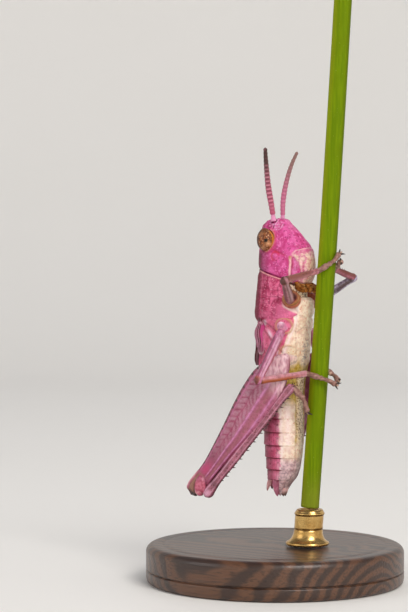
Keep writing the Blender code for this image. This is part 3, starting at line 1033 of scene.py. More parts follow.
def trunk_round(height, turn):
    """Points of the trunk; height by row, turn by row and column."""
    back, front, half, square = (v[:, None] for v in trunk_outline(height))
    x, y = egg(turn, back, front, half, square)
    z = height[:, None] - trunk_fall(height)[:, None] * (x - NECK_BACK)
    return np.stack([x, y, z], -1)


def from_belly(turn):
    """Degrees round the trunk from the middle of the belly."""
    return np.abs((np.degrees(turn) + 180) % 360 - 180)

# %% [markdown]
# ## The trunk's shell
# The back is raspberry pink, darkest on top partly as painted shade, and the
# belly is cream with an olive line. The border between them is ragged. A sharp
# mask would look stuck on, so noise is added to the mask before it becomes an
# edge.

# %% Material of the trunk
look = Look("trunk_cuticle", rough=.46, coat=.05, scatter=.12)
pitted(look, .008, .09)
cream = look.blotch((246, 226, 206), (228, 196, 172), .3, .4, .65)
cream = look.blotch(cream, (216, 138, 118), .1, .6, .7, .8, detail=1)
cream = look.blotch(cream, (216, 176, 160), .22, .5, .66, .7, detail=2)
yellow = look.blotch((164, 132, 30), (210, 180, 96), .2, .4, .7)
cream = look.paint(cream, olive=yellow)
grey = look.blotch((222, 188, 196), (176, 138, 148), .22, .38, .62)
# white is painted highlight on the cream
cream = look.paint(cream, grey=grey, white=(250, 228, 228))
fleck = look.patchy("fleck", .11, .5, .6, 0, detail=2)
cream = look.mix(fleck, cream, (112, 108, 122))
pink = look.blotch((202, 76, 116), (230, 118, 158), .4, .35, .7)
pink = look.blotch(pink, (150, 42, 74), .1, .56, .7)
# lilac: painted highlight on the chest's bumps, and a pale lilac on the rings
pink = look.paint(pink, lilac=(238, 206, 222))
# dark: the back painted darker, partly as shade, and painted shadow under the
# hind legs
dark = look.patchy("dark", .3, .3, .62, .55, 1.15, detail=3)
pink = look.mix(dark, pink, (104, 26, 44))
wavy = look.maths("ADD", look.mask("pink"), look.span(look.noise(.25, 3), .3,
    .7, -.25, .25))
colour = look.mix(look.span(wavy, .18, .82), cream, pink)
colour = look.paint(colour, joint=(120, 30, 42), tan=(196, 148, 112))
# throat colour also lies along the belly's middle as painted shade
throat = look.blotch((122, 74, 44), (236, 214, 184), .1, .38, .52, detail=2)
colour = look.paint(colour, throat=throat)
TRUNK_LOOK = look.finish(colour)

# %% [markdown]
# ## Rings and plates
# The back is made of rings that swell towards their rear edge and tuck under
# the next, like stacked cups, with breathing holes low on their sides. An
# array modifier could copy one, but they shorten towards the tail. So their
# joints are listed, and every point is told how far along its own ring it
# lies.

# %% Shares and seams
def ring_share(height):
    """How far along its belly ring a height is, from front to rear edge."""
    ends = np.array((12.75,) + JOINTS + (4.9,))
    k = np.clip(np.searchsorted(-ends, -height) - 1, 0, len(ends) - 2)
    return np.clip((ends[k] - height) / (ends[k] - ends[k + 1]), 0, 1)


def seam(x, z, start, end, width):
    """A line drawn on the side, from start to end in x and z."""
    start, end = np.array(start), np.array(end)
    way = end - start
    t = np.clip(((x - start[0]) * way[0] + (z - start[1]) * way[1])
        / (way @ way), 0, 1)
    return dot(x - start[0] - t * way[0],
        z - start[1] - t * way[1], width)


def lobe_edge(height):
    """Where the collar's side lobe ends towards the belly."""
    return .75 + .41 * (17.59 - height)


print("ring lengths", -np.diff(JOINTS).round(2))

# %% Relief of the belly
def belly_marks(z, a, height):
    """Rings, fold, holes and last plate of the belly; also their parts."""
    belly = ease(height, 12.5, 12.1)
    share = ring_share(height)
    joint = sum(hump(height - j, .035) for j in JOINTS)
    fold = hump(a - 17, 2.2) * belly * ease(height, 6.2, 7)
    end = ease(height, 5.98, 5.84) * ease(a, 66, 90)
    holes = sum(dot(height - j - .45, (a - 78) * .02, .05)
        for j in JOINTS[1:-1])
    wrinkles = hump((a * .14) % 1 - .5, .1) * belly * ease(a, 70, 78)
    lift = (belly * (.055 * share ** 2 - .02) * (
                .3 + .7 * ease(a, 56, 74))
            - (.008 + .045 * ease(a, 60, 72)) * joint * ease(a, 8, 14)
            - .14 * ease(height, 6.3, 5.3) * ease(a, 75, 30)
            - .07 * fold + .02 * hump(a - 24, 4) * belly
            - .34 * end - .03 * holes - .008 * wrinkles)
    marks = {
        # darker back, partly painted shade; painted shadow under the hind shin
        "dark": (.36 * ease(a, 84, 106) + .3 * ease(a, 112, 150)
                 + .5 * ease(z, 8.2, 9.4) * ease(a, 68, 80)
                 + .25 * ease(share, .3, 0) * ease(a, 66, 76)) * belly
        + .4 * end + .8 * holes,
        # white across the middle of the cream is painted highlight
        "white": .6 * hump(a - 46, 12) * between(
            z, 7.2, 8.2, 10, 11) * (1 - joint),
        "lilac": .35 * belly * hump(a - 76, 7) * hump(share - .6, .35)
        + .1 * ease(z, 6.7, 6.4),
        "joint": joint * (.14 + .78 * ease(a, 60, 74)) * belly
        + .32 * wrinkles + .3 * fold}
    return lift, marks, belly, share

# %% [markdown]
# ## Seams of the chest
# The chest is a box of plates. Slanting seams part them on the sides, others
# cross the breast, and the hips sit in round sockets. Cutting each plate out
# would leave gaps to fill. A seam is drawn as a groove from one point to
# another, and the same groove is painted dark.

# %% Relief of the chest
SIDE_SEAMS = (((.55, 14.5), (-.75, 15.5)), ((.75, 13.4), (-.55, 14.9)),
    ((.3, 12.6), (-.75, 13.9)), ((-.75, 15.5), (-.75, 12.6)))
HIP_SOCKETS = (((.88, 14.92), .44), ((1.1, 13.3), .5))


def chest_marks(x, z, side, a, height):
    """Side plates, breast plates and sockets of the hips."""
    chest = between(height, 12.3, 12.7, 15.2, 15.6)
    on_side = ease(a, 34, 42)
    seams = sum(seam(x, z, *ends, .05) for ends in SIDE_SEAMS) * on_side
    bulges = (seam(x, z, (.1, 14), (-.6, 15), .22)
        + seam(x, z, (.3, 12.9), (-.6, 14), .2))
    plates = (hump(z - 14.77 + .25 * ease(side, .35, .9), .03)
        * ease(a, 36, 30) + hump(a - 30 - 3 * (z - 14), 2) * between(
            z, 12.9, 13.2, 16.4, 16.6)
        + hump(side, .03) * between(z, 12.4, 12.6, 14.7, 14.8)
        * ease(a, 20, 10) + hump(z - 13.35 - .2 * side, .03) * ease(a, 30, 24))
    sockets = sum(hump(np.hypot(x - centre[0], z - centre[1]) - reach, .07)
        for centre, reach in HIP_SOCKETS)
    sockets = sockets * between(a, 36, 44, 80, 100)
    spots = (1.2 * dot(x - .08 + .5 * (z - 14.4),
                            (z - 14.45) * .45, .1)
        + .8 * dot(x + .3, (z - 15.1) * .7, .1)
        + .7 * dot(x - .28, (z - 13.9) * .6, .1)
        + .7 * dot(x - .5, (z - 13.4) * .6, .12))
    spots = spots * on_side
    ring = hump(np.hypot(x + .36, z - 15.08) - .15, .05) * ease(
        a, 140, 125) * on_side
    lift = (.04 * chest * on_side * bulges - .05 * seams * chest
        - .035 * plates + .06 * sockets + .04 * spots + .03 * ring)
    # lilac on the spots and the ring is painted highlight
    marks = {"lilac": .9 * spots + .6 * ring,
        "tan": .75 * sockets * ease(z, 12.9, 13.4),
        "joint": .7 * seams * chest + .2 * plates}
    return lift, marks


print("seams on each side", len(SIDE_SEAMS))

# %% Under the collar and the pads
def covered_marks(x, z, a, height):
    """Skin under collar and pads, which lies deeper and is painted dark under
    the pads as shade, and the throat.
    """
    lobe = ease(x - lobe_edge(height), .12, 0)
    throat = ease(height, 16.45, 16.75) * (1 - lobe)
    pads = ease(a, 100, 108) * between(height, 12.9, 13.2, 15.3, 15.5)
    lift = (-.09 * lobe * ease(height, 15.25, 15.4) - .38 * throat
        - .1 * hump(z - 16.45, .05) * (1 - lobe) * ease(
            z, 16.3, 16.4) - .06 * pads * ease(a, 178, 170)
        + .26 * hump(height - 15.1, .26) * between(
            a, 90, 120, 150, 170)
        - .03 * hump(height - 14.45, .04) * ease(a, 100, 115)
        + .03 * hump(a - 180, 4) * ease(height, 15.2, 14.9))
    # the skin under the pads is painted dark as shade
    return lift, {"dark": .5 * pads}, throat

# %% [markdown]
# ## Where the colours lie
# Pink covers the back down to a border that climbs from the chest to the tail.
# Cream, olive and grey share the belly, with painted white highlights and
# painted shade along its middle. The border is one curve of height, so the
# whole pattern can be moved by a few numbers.

# %% Markings of the trunk
def border(height, belly, share):
    """Degrees from the belly at which the pink begins."""
    return 2.5 * belly * (share - .5) + curve(
        [5, 7.2, 12.5, 13.49, 14.07, 14.94, 15.81, 17],
        [69, 70, 70, 66, 57, 44, 42, 42], height)


def trunk_marks(x, y, z, turn, height):
    """Relief in millimetres and masks over the whole trunk."""
    side, a = np.abs(y), from_belly(turn)
    lift, marks, belly, share = belly_marks(z, a, height)
    chest, chest_masks = chest_marks(x, z, side, a, height)
    covered, covered_masks, throat = covered_marks(x, z, a, height)
    edge = border(height, belly, share)
    olive = (.55 + .4 * np.sin(share * 3.1)) * hump(
        a - 17 - 3 * np.sin(z * 4.1), 7) * ease(z, 7.9, 8.3) + between(
        z, 10.1, 10.9, 12.3, 12.9) * ease(a, 64, 50)
    colours = {
        # white beside the border is painted highlight
        "white": .8 * hump(a - edge + 7, 4) * between(
            z, 12.9, 13.4, 15.9, 16.3)
        + .6 * hump(a - edge + 5, 5) * belly * ease(z, 6.4, 7.2),
        "fleck": .8 * ease(x, 1.35, 1.5) * ease(side, .45, .1) * between(
            z, 12.3, 12.7, 13.9, 14.3)
        + .25 * ease(z, 7.4, 6.6) + .5 * ease(z, 5.6, 5.2),
        # the far side of the last rings gets the joint colour as painted shade
        "joint": .8 * ease(y, -.15, .35) * ease(z, 6.8, 6.2)}
    marks = {word: np.clip(mask, 0, .9 if word == "lilac" else 1)
        for word, mask in added(
            marks, chest_masks, covered_masks, colours).items()}
    marks.update({
        "pink": ease(a, edge - 2.5 - 6 * belly, edge + 2.5 + 8 * belly) * (
            1 - .5 * throat),
        "olive": np.clip(olive, 0, 1) * ease(z, 13.2, 12.6)
        + .35 * hump(x - 1.25, .25) * hump(z - 13.3, .6),
        "grey": .9 * ease(z, 7.45, 6.9),
        # along the belly's middle the throat colour is painted shade
        "throat": throat + .8 * ease(a, 20, 11) * between(
            z, 8, 8.7, 11.8, 12.6)})
    return lift + chest + covered, marks


print("border at 10 mm", border(10, 1, .5).round(1), "degrees")

# %% The trunk itself
heights = np.concatenate([np.linspace(18.05, 12.6, 130),
    np.linspace(12.57, 5.07, 290)])
turn = turns(184)
grid = trunk_round(heights, np.broadcast_to(turn, (420, 184)))
lift, marks = trunk_marks(*np.moveaxis(grid, -1, 0), turn, heights[:, None])
trunk = tube_piece("trunk_skin", push(grid, lift), marks, TRUNK_LOOK)
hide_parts("thorax", "abdomen_base", "abdomen_middle", "abdomen_tip")
print("trunk relief", lift.min().round(2), "to", lift.max().round(2), "mm")

# %% [markdown]
# ## Collar
# The collar is a saddle of hard shell over neck and shoulders, with three
# keels, three cross grooves, small creases and a pale rim. A thickened plane
# could be wrapped over the trunk. Here the plate uses the trunk's own rounds
# between two lower edges, so it lies snug, and two sheets give it a real edge.

# %% Material of the collar
look = Look("collar_cuticle", rough=.5, coat=.03, scatter=.1, shine=.15)
pitted(look, .014, .12)
pink = look.blotch((186, 60, 102), (222, 108, 148), .4, .35, .68)
pink = look.blotch(pink, (150, 42, 76), .17, .5, .64, .75, detail=2,
    stretch=(1, 1, .4))
pink = look.blotch(pink, (236, 146, 176), .13, .56, .68, .8, detail=2,
    stretch=(1, 1, 1.6))
# dark is painted shade on the collar's top and beside the fore hip
pink = look.paint(pink, lobe=(242, 128, 172), dark=(88, 14, 24),
    keel=(222, 120, 150), groove=(118, 30, 56),
    rim=(238, 186, 176), pale=(244, 218, 210))
COLLAR_LOOK = look.finish(pink)

# %% Form of the collar
COLLAR_FRONT, COLLAR_END = 18.24, 15.33
COLLAR_LONG = 2.9               # from front to rear edge


def collar_grid(rows=150, columns=200):
    """The trunk's rounds between the collar's two lower edges."""
    share = np.linspace(0, 1, rows)
    height = COLLAR_FRONT + (COLLAR_END - COLLAR_FRONT) * share
    back, front, half, square = trunk_outline(height)
    edge = lobe_edge(height - trunk_fall(height) * 2.15) - .42 * ease(
        share, .88, 1) ** 2
    low = np.arccos(signed_power(np.clip(
        (edge - (back + front) / 2) / ((front - back) / 2), -.97, .97),
        square / 2))[:, None]
    across = np.linspace(0, 1, columns)[None]
    turn = low + (2 * math.pi - 2 * low) * across
    grid = trunk_round(height, turn)
    a = from_belly(turn)
    grid[..., 2] -= .34 * ease(share, .8, 1)[:, None] * ease(a, 95, 150)
    rim = np.minimum(across, 1 - across) * half[:, None] * 4
    return grid, a, share[:, None], rim


print("collar points", collar_grid()[0].shape)

# %% Keels, grooves and creases
def collar_relief(x, y, z, a, share, rim):
    """Relief of the collar, and its keels, grooves and creases."""
    keels = hump(x + .66 - .03 * np.cos(z * 2.2), .04) * ease(a, 80, 100)
    middle = hump(y, .04) * ease(x, -.8, -1.1)
    wave = .03 * np.sin(np.radians(a) * 9)
    grooves = (hump(z - 16.98 - .08 * np.cos(np.radians(a) * 3) + wave, .04)
        + hump(z - 16.5 + .05 * np.cos(np.radians(a) * 2) - wave, .04)
        + .6 * hump(z - 17.52 + wave, .04) * ease(a, 140, 120))
    grooves *= ease(rim, .1, .3) * (.7 + .3 * np.sin(np.radians(a) * 14))
    creases = (hump((z * 4.6 + wave * 6) % 1 - .5, .09) + hump(
        (a * .12 + .3 * np.sin(z * 5)) % 1 - .5, .09)) * ease(
            x, .35, -.4) * ease(rim, .1, .3)
    front, rear = share * COLLAR_LONG, (1 - share) * COLLAR_LONG
    swell = hump(z - 17.25, .14) + hump(z - 16.05, .3)
    lift = (.02 + .04 * keels + .05 * middle - .022 * grooves
        + .025 * hump(front - .06, .05) + .02 * swell * ease(a, 130, 100)
        - .1 * ease(front, .45, 0) * ease(x, -.2, -.7)
        - .045 * ease(rear, .3, 0)
        - .05 * ease(rear, 1.4, 0) * ease(x, -.3, -1)
        - .05 * ease(rim, .28, 0) * ease(front, .5, 1.2))
    return lift, keels, middle, grooves, creases

# %% The collar itself
grid, a, share, rim = collar_grid()
x, y, z = np.moveaxis(grid, -1, 0)
lift, keels, middle, grooves, creases = collar_relief(x, y, z, a, share, rim)
outer = push(grid, lift, wrap=False)
inner = push(grid, np.minimum(lift - .07, -.06), wrap=False)
collar = shell_piece("collar_shell", outer, inner, {
    # painted shade over the top and a painted shadow beside the fore hip
    "dark": np.clip(.36 * ease(x, -.05, -.62) + .45 * ease(
        x, -.68, -1) * (1 - .9 * ease(np.abs(y), .9, .3))
        + .5 * dot(x - .52, z - 16.35, .17) - .3 * middle, 0, .9),
    "keel": .3 * keels + .4 * middle,
    "groove": np.clip(.4 * grooves + .3 * creases, 0, 1),
    "lobe": .6 * ease(z, 16.35, 15.9) * ease(x, .1, .7),
    "pale": .85 * ease(z + .57 * (x - .87), 15.92, 16.04) * ease(
        x, .72, .98) * ease(z, 16.3, 16.18),
    "rim": np.clip(.6 * hump(share * COLLAR_LONG - .04, .035)
                   * ease(a, 150, 130) + .3 * hump(rim, .05), 0, 1),
}, COLLAR_LOOK)
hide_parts("pronotum")
print("collar relief", lift.min().round(2), "to", lift.max().round(2), "mm")

# %% [markdown]
# ## Wing pads
# Where its wings will grow, a nymph has two small leaves on each side, dark
# with pale veins and a bright pink edge. A solidified plane would do, but here
# a leaf is laid over the back by angle and height, so it follows the trunk,
# and its veins are raised by the same numbers that paint them.

# %% Material of the wing pads
def pad_look(name, shine):
    """Dark mauve with pale veins and a bright edge."""
    look = Look(name, rough=.5, scatter=.1, shine=shine)
    look.relief(look.noise(.06, 2), .012)
    mauve = look.blotch((78, 22, 36), (134, 46, 70), .18, .35, .65)
    # rim is a painted highlight along the leaf's edges
    mauve = look.paint(mauve, vein=(224, 160, 186), bright=(208, 62, 132),
        shade=(66, 26, 26), rim=(238, 196, 206))
    return look.finish(mauve)


PAD_LOOKS = {"leaf": pad_look("wing_pad", .25),
    "under": pad_look("wing_pad_under", .05)}

# %% A leaf
def pad_leaf(name, side, top, tip, middle, spread, lift, rise, bright,
             point):
    """One leaf; middle and spread are degrees from the line of the back."""
    share = np.linspace(0, 1, 110)
    centre = middle[0] + (middle[1] - middle[0]) * share
    width = spread * (1 - (share * .995) ** 2.4) ** point * (
        .66 + .34 * ease(share, 0, .35))
    across = np.linspace(-1, 1, 60)[None]
    turn = np.radians(180 - side * (centre[:, None] + width[:, None] * across))
    grid = trunk_round(top + (tip - top) * share, turn)
    share = share[:, None]
    bend = across * 3.6 + 1.2 * share * np.sign(across) + .12 * np.sin(
        share * 9)
    veins = hump(bend - np.round(bend), .13) * ease(
        np.abs(across), .98, .85) * ease(share, .03, .14)
    swell = (lift + .03 * (1 - across ** 2) + rise * hump(share - .88, .22)
        + (.2 if bright else .04) * between(
            share, 0, .1, .12, .42) * ease(across, -1.5, -.3))
    edge = hump(1 - np.abs(across), .09)
    outer = push(grid, swell + .035 * veins + .02 * edge, wrap=False)
    inner = push(grid, swell - (.05 if bright else .22), wrap=False)
    # the pale rim is a painted highlight along the lower edges and tip
    rim = (.6 * hump(1 - across, .12) + .8 * hump(1 + across, .16)) * ease(
        share, .3, .6) + .8 * hump(1 - share, .05)
    return shell_piece(name, outer, inner, {
        "vein": (.9 if bright else .6) * veins,
        "shade": 0 if bright else .9,
        "bright": bright * ease(across, .45, .8) * between(
            share, .12, .28, .7, 1),
        "rim": np.clip(rim, 0, 1) * (1 if bright else .25)},
        PAD_LOOKS[name.split("_")[-1]])

# %% Both pairs of leaves
for side, word in SIDES:
    made = pad_leaf(f"wing_pad_{word}_leaf", side, 15.42, 13.25,
        (42, 62), 30, -.02, -.04, .95, .5)
    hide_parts(f"wing_pad_{word}")
    under = pad_leaf(f"wing_pad_{word}_under", side, 15.22, 12.62,
        (17, 40), 25, -.06, .19, 0, .7)

# %% [markdown]
# ## Tail
# Behind the last ring sit a small triangle, two short stubs, and the four
# pointed valves with which a grown female lays her eggs. Blender's own cone
# has straight sides, so a tube is swept instead, which swells, bends a little
# and is flattened.

# %% Material of the tail
look = Look("tail_cuticle", rough=.4, scatter=.15)
look.relief(look.noise(.07, 2), .012)
pink = look.blotch((208, 102, 142), (230, 142, 172), .25, .4, .65)
pink = look.paint(pink, pale=(224, 180, 176), dark=(62, 34, 24))
TAIL_LOOK = look.finish(pink)

# %% Tail valves
def cone(start, end, radius, flat, pale, dark):
    """A pointed valve, flattened from side to side."""
    start, end = np.array(start), np.array(end)
    share = np.linspace(0, 1, 40)
    path = start + (end - start) * share[:, None]
    path[:, 0] += .06 * share ** 2
    width = radius * np.clip(1 - share ** 1.9, .001, 1) ** .7
    return (sweep(path, (1, 0, 0), width, width, width * flat, 20),
        {"pale": pale, "dark": dark * ease(share, .45, .9)[:, None]})


parts = [cone((-.72, 0, 5.95), (-.8, 0, 5.36), .14, 1.4, .3, .9)]
for side, word in SIDES:
    parts += [cone((-.6, .4 * side, 6), (-.92, .36 * side, 5.28),
             .14, 1, .75, .3),
        cone((-.28, .22 * side, 6.05), (-.34, .16 * side, 4.98),
             .31, .8, .1, .2),
        cone((.06, .16 * side, 5.75), (.04, .1 * side, 5), .24, .8, .9, .9)]
tail = joined("tail_valves", parts, TAIL_LOOK)
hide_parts("ovipositor")
print("tail", len(parts), "cones")

# %% [markdown]
# ## Perch
# The perch is a cut length of green grass stem, finely ribbed and yellowish at
# its cut ends, with painted light on one side and painted shade on the other.
# A cylinder would be too even. A tube with low ribs follows the solid's middle
# line, and noise drawn out along it makes the streaks. It comes before the
# legs, because the feet hold it.

# %% The stem's line
STEM_PATH = middle_line("perch_stem", np.array([1.8, 0, 4.5]), 9)
STEM_RADIUS = np.ptp(cad("perch_stem")[0][:, 1]) / 2


def stem_at(height):
    """The stem's axis at one height or many."""
    return np.stack([np.interp(height, STEM_PATH[:, 2], STEM_PATH[:, k])
        for k in range(3)], -1)


print("stem radius", STEM_RADIUS.round(3), "top", STEM_PATH[-1].round(2))

# %% Material of the stem
look = Look("stem", rough=.65, shine=.08)
streak = look.noise(.12, 2, (1, 1, .04))
look.relief(streak, .012)
green = look.mix(look.span(streak, .35, .65), (96, 122, 0),
    (112, 136, 2))
green = look.blotch(green, (102, 124, 0), 1.6, .4, .7, detail=2)
green = look.blotch(green, (176, 188, 90), .09, .74, .78, .5, detail=1)
# painted light on the lit side, painted shade as deep on the other
green = look.paint(green, warm=(156, 164, 12), deep=(82, 96, 0),
    foot=(132, 134, 44))
STEM_LOOK = look.finish(green)

# %% The stem itself
SUN_SIDE = unit((-.82, -.57, 0))  # the side painted paler as lit; the other is painted shade


def stem():
    """A ribbed tube along the stem's line."""
    rows, columns = 260, 72
    path = resample(STEM_PATH, rows)
    turn = turns(columns)
    ribs = .005 * np.cos(turn * 14) + .005 * np.cos(turn * 5 + 1)
    width = STEM_RADIUS * np.linspace(1, .97, rows)
    grid = sweep(path, (1, 0, 0), width, width, width, columns)
    grid = push(grid, ribs + np.zeros((rows, 1)))
    lean = (grid - path[:, None]) @ SUN_SIDE / STEM_RADIUS
    made = tube_piece("stem_skin", grid, {
        # painted light on one side and painted shade on the other
        "warm": .6 * ease(lean, .4, .95),
        "deep": .6 * ease(lean, -.35, -.9),
        "foot": (.5 * ease(path[:, 2], 7, 4.5)
                 + .5 * ease(path[:, 2], 34.2, 34.5))[:, None]}, STEM_LOOK)
    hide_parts("perch_stem")
    print("stem length", run_along(path)[-1].round(1), "mm")


stem()

# %% [markdown]
# ## Legs
# Every leg is a chain of hip, thigh, shin, and a foot of three joints with two
# claws. Six separate sculptures would never match. So the places of hip, knee
# and ankle are written down once, a table gives the thickness along a part,
# and one set of helpers serves all six.

# %% Places of the legs
# hip, knee and ankle of each leg
FORE_RIGHT = ((1.4, -1.4, 16.3), (2.33, -3.5, 17.48), (2.9, -.95, 18.02))
FORE_LEFT = ((1.4, 1.4, 16.3), (2.94, 3.1, 17.72), (2.8, .95, 18.2))
MID_RIGHT = ((.95, -1.62, 14.65), (.5, -3.35, 11.85), (2.2, -.97, 12.2))
MID_LEFT = ((.95, 1.62, 14.65), (.6, 3.45, 11.98), (2.2, .99, 12.34))
HIND_RIGHT = ((1.15, -1.62, 13.08), (-3.65, -3.5, 5.52), (1.6, -1.62, 11.45))
HIND_LEFT = ((1.15, 1.62, 13.08), (-3.32, 4.3, 5.55), (1.6, 1.62, 11.45))
print("middle thigh", np.linalg.norm(np.subtract(
    MID_RIGHT[0], MID_RIGHT[1])).round(2), "mm")

# %% A straight length of leg
# along the thigh or shin: reach outside the bend, inside it, half thickness
THIGH = ((0, .2, .2, .2), (.05, .25, .25, .23), (.1, .26, .25, .23),
    (.16, .28, .27, .24), (.35, .29, .27, .24), (.65, .26, .24, .22),
    (.86, .23, .21, .2), (.95, .27, .23, .23), (1, .28, .22, .23),
    (1.05, .2, .16, .18), (1.08, .05, .05, .05))
SHIN = ((-.03, .05, .05, .05), (0, .16, .16, .16), (.05, .23, .22, .2),
    (.12, .215, .2, .19), (.4, .215, .2, .18), (.8, .185, .17, .16),
    (.94, .185, .18, .165), (1, .17, .17, .16), (1.03, .08, .08, .08))


def straight(start, end, bend, table, rows=110, columns=32, square=2):
    """A straight length of leg with its own relief coordinates."""
    start, end = np.array(start, float), np.array(end, float)
    share = np.linspace(table[0][0], table[-1][0], rows)
    path = start + (end - start) * share[:, None]
    columns_of = np.array(table)
    out, into, half = curve(columns_of[:, 0], columns_of[:, 1:], share).T
    grid = sweep(path, bend, out, into, half, columns, square)
    return grid, share[:, None], turns(columns)

# %% A thorn
def spike(start, way, length, radius, rows=10, columns=8, bow=None):
    """A small curved thorn."""
    share = np.linspace(0, 1, rows)
    path = np.array(start) + np.array(way) * length * share[:, None]
    if bow is not None:
        path = path + np.array(bow) * (share ** 2)[:, None]
    width = radius * np.clip(1 - share ** 1.6, .03, 1)
    inner = (.3, 1, .2) if abs(way[1]) < .8 else (1, .1, .2)
    return sweep(path, inner, width, width, width, columns)

# %% [markdown]
# ## Hips
# The fore hip is an open cup, from which the thigh comes out, and the others
# are domes that swell out of the chest. They could be cut from cylinders. A
# ball whose pole points at the knee makes both: for the cup its pole is
# pressed in and its border raised.

# %% Material of the hips
def hip_look(name, outside, rim, hollow):
    """A pitted shell with its own rim colour; the hollow is painted shade in
    the fore cup and a blush on the domes, and light is a painted highlight.
    """
    look = Look(name, rough=.5, coat=.05, scatter=.15)
    pitted(look, .012, .08)
    colour = look.blotch(outside, darker(outside, .8), .2, .35, .65)
    colour = look.paint(colour, rim=rim, hollow=hollow, light=(246, 222, 236))
    return look.finish(colour)


HIP_LOOKS = {name: hip_look("hip_" + name, *colours) for name, colours in {
    # the fore cup's dark hollow is painted shade
    "fore": ((190, 104, 78), (150, 98, 42), (86, 24, 20)),
    "mid": ((224, 150, 178), (204, 156, 130), (214, 104, 154)),
    "hind": ((240, 212, 196), (230, 204, 196), (206, 150, 160))}.items()}

# %% Hip cups and domes
DOME_RISE = -.12                # the two rear domes lie a little deeper


def hip(name, word, knee):
    """A cup or a dome whose pole faces the knee."""
    node = f"{name}_coxa_{word}"
    centre, reach = middle_of(node), np.ptp(cad(node)[0], axis=0) / 2 + .02
    mouth = unit(np.array(knee) - centre)
    inner = unit(np.cross(mouth, (.2, .1, 1)))
    third = np.cross(mouth, inner)
    tip, turn = tips(64, .02), turns(72)
    ball = (mouth * np.cos(tip)[..., None]
        + inner * (np.sin(tip) * np.cos(turn))[..., None]
        + third * (np.sin(tip) * np.sin(turn))[..., None])
    angle = np.degrees(tip) + 0 * turn
    # only the fore hip is an open cup
    cup = name == "fore"
    place = centre
    if not cup:
        out = unit(np.array((.45, .89 * np.sign(centre[1]), 0)))
        reach = np.full(3, 1.4 * reach.mean())
        centre = centre + out * (DOME_RISE - reach[0])
    lift = (.06 * hump(angle - 52, 10) - .2 * ease(angle, 44, 26)
        - .03 * hump(angle - 72, 8)) * cup
    grid = centre + ball * (reach + lift[..., None])
    x, z = grid[..., 0] - place[0], grid[..., 2] - place[2]
    # patch is a painted highlight on the middle hips
    patch = dot(x + .16, z - .22, .12)
    blush = dot(x - .12, z - .02, .16)
    made = tube_piece(f"{name}_hip_{word}", grid, {
        "rim": hump(angle - 54, 13) * cup,
        # the fore cup's hollow is painted shade; the domes' is a blush
        "hollow": ease(angle, 44, 32) if cup else .7 * blush,
        "light": .8 * (name == "mid") * patch}, HIP_LOOKS[name])
    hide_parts(node)

# %% [markdown]
# ## Feet
# A foot has three joints with soft pads beneath, two hooked claws and a small
# lobe, which grip the stem. On a real mount it is bent by hand. Here its line
# is pulled towards the stem until the pads touch it, so a foot can't float.

# %% Material of the feet
look = Look("foot", rough=.45, scatter=.1)
look.relief(look.noise(.05, 3), .015)
colour = look.blotch((160, 118, 108), (118, 80, 68), .16, .35, .65)
colour = look.paint(colour, pad=(206, 170, 150), claw=(44, 26, 20))
FOOT_LOOK = look.finish(colour)

# %% Line of a foot
def foot_line(node, ankle):
    """The foot's line from the ankle, and its widths, pulled to the stem."""
    path = resample(middle_line(node, ankle, 7), 110)
    path = np.concatenate([[ankle * .7 + path[0] * .3], path[4:]])
    path = resample(path[::12], 110)
    share = np.linspace(0, 1, 110)
    towards = stem_at(path[:, 2]) - path
    towards[:, 2] = 0
    far = np.linalg.norm(towards, axis=1)
    width = curve([0, .1, .34, .4, .44, .52, .56, .62, .85, .97, 1],
        [.17, .17, .18, .13, .17, .13, .12, .13, .16, .14, .03], share)
    near = np.clip(far - STEM_RADIUS - width * .9, 0, .16) * ease(
        share, .15, .5)
    path = path + towards / far[:, None] * near[:, None]
    return path, unit(towards)[20], width


print("fore foot", run_along(foot_line(
    "fore_tarsus_right", np.array(FORE_RIGHT[2]))[0])[-1].round(2), "mm")

# %% Foot with its claws
def foot(name, word, ankle):
    """Three joints with pads beneath, then two claws and a lobe."""
    node = f"{name}_tarsus_{word}"
    path, inner, width = foot_line(node, np.array(ankle))
    share = np.linspace(0, 1, 110)
    pads = sum(hump(share - p, .035) for p in (.1, .21, .32, .48))
    grid = sweep(path, inner, width, width * (1 + .35 * pads), width * .85, 24)
    under = ease(np.cos(turns(24)), .2, .8)
    parts = [(grid, {"pad": pads[:, None] * under,
        "claw": ease(share, .975, 1)[:, None]})]
    run, inners, sides = line_frame(path, inner)
    for way in (-1, 1):
        start = path[-3] + sides[-3] * way * .05
        parts.append((spike(
            start, unit(run[-3] * .8 + sides[-3] * way * .5), .34, .06,
            14, 10, bow=inners[-3] * .2 - run[-3] * .04),
            {"pad": 0, "claw": 1}))
    lobe = path[-3] + run[-3] * .02
    parts.append((spike(lobe, unit(run[-3] + inners[-3] * .4), .2, .09,
        12, 12), {"pad": .6, "claw": 0}))
    made = joined(f"{name}_foot_{word}", parts, FOOT_LOOK)
    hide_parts(node)

# %% [markdown]
# ## Fore and middle legs
# These legs are slender, with stripes along the thigh, partly painted
# highlight, and two rows of fine thorns under the shin. The stripes could be
# painted on an unwrapped mesh.
# Masks of the direction round the leg's own axis need no unwrapping, and they
# follow every bend.

# %% Material of the legs
def leg_look(name, light, deep, under):
    """Pale stripes on deep, partly painted highlight, and a darker underside.
    """
    look = Look(name, rough=.42, coat=.05, scatter=.12)
    look.relief(look.noise(.05, 3), .016)
    colour = look.blotch(light, deep, .22, .35, .65, detail=2,
        stretch=(1, 1, .6))
    colour = look.blotch(colour, darker(deep, .72), .08, .6, .72, detail=1)
    colour = look.paint(colour, band=darker(deep, .84),
        stripe=tuple(int(v + (250 - v) * .45) for v in light),
        under=under, joint=(70, 34, 26))
    return look.finish(colour)


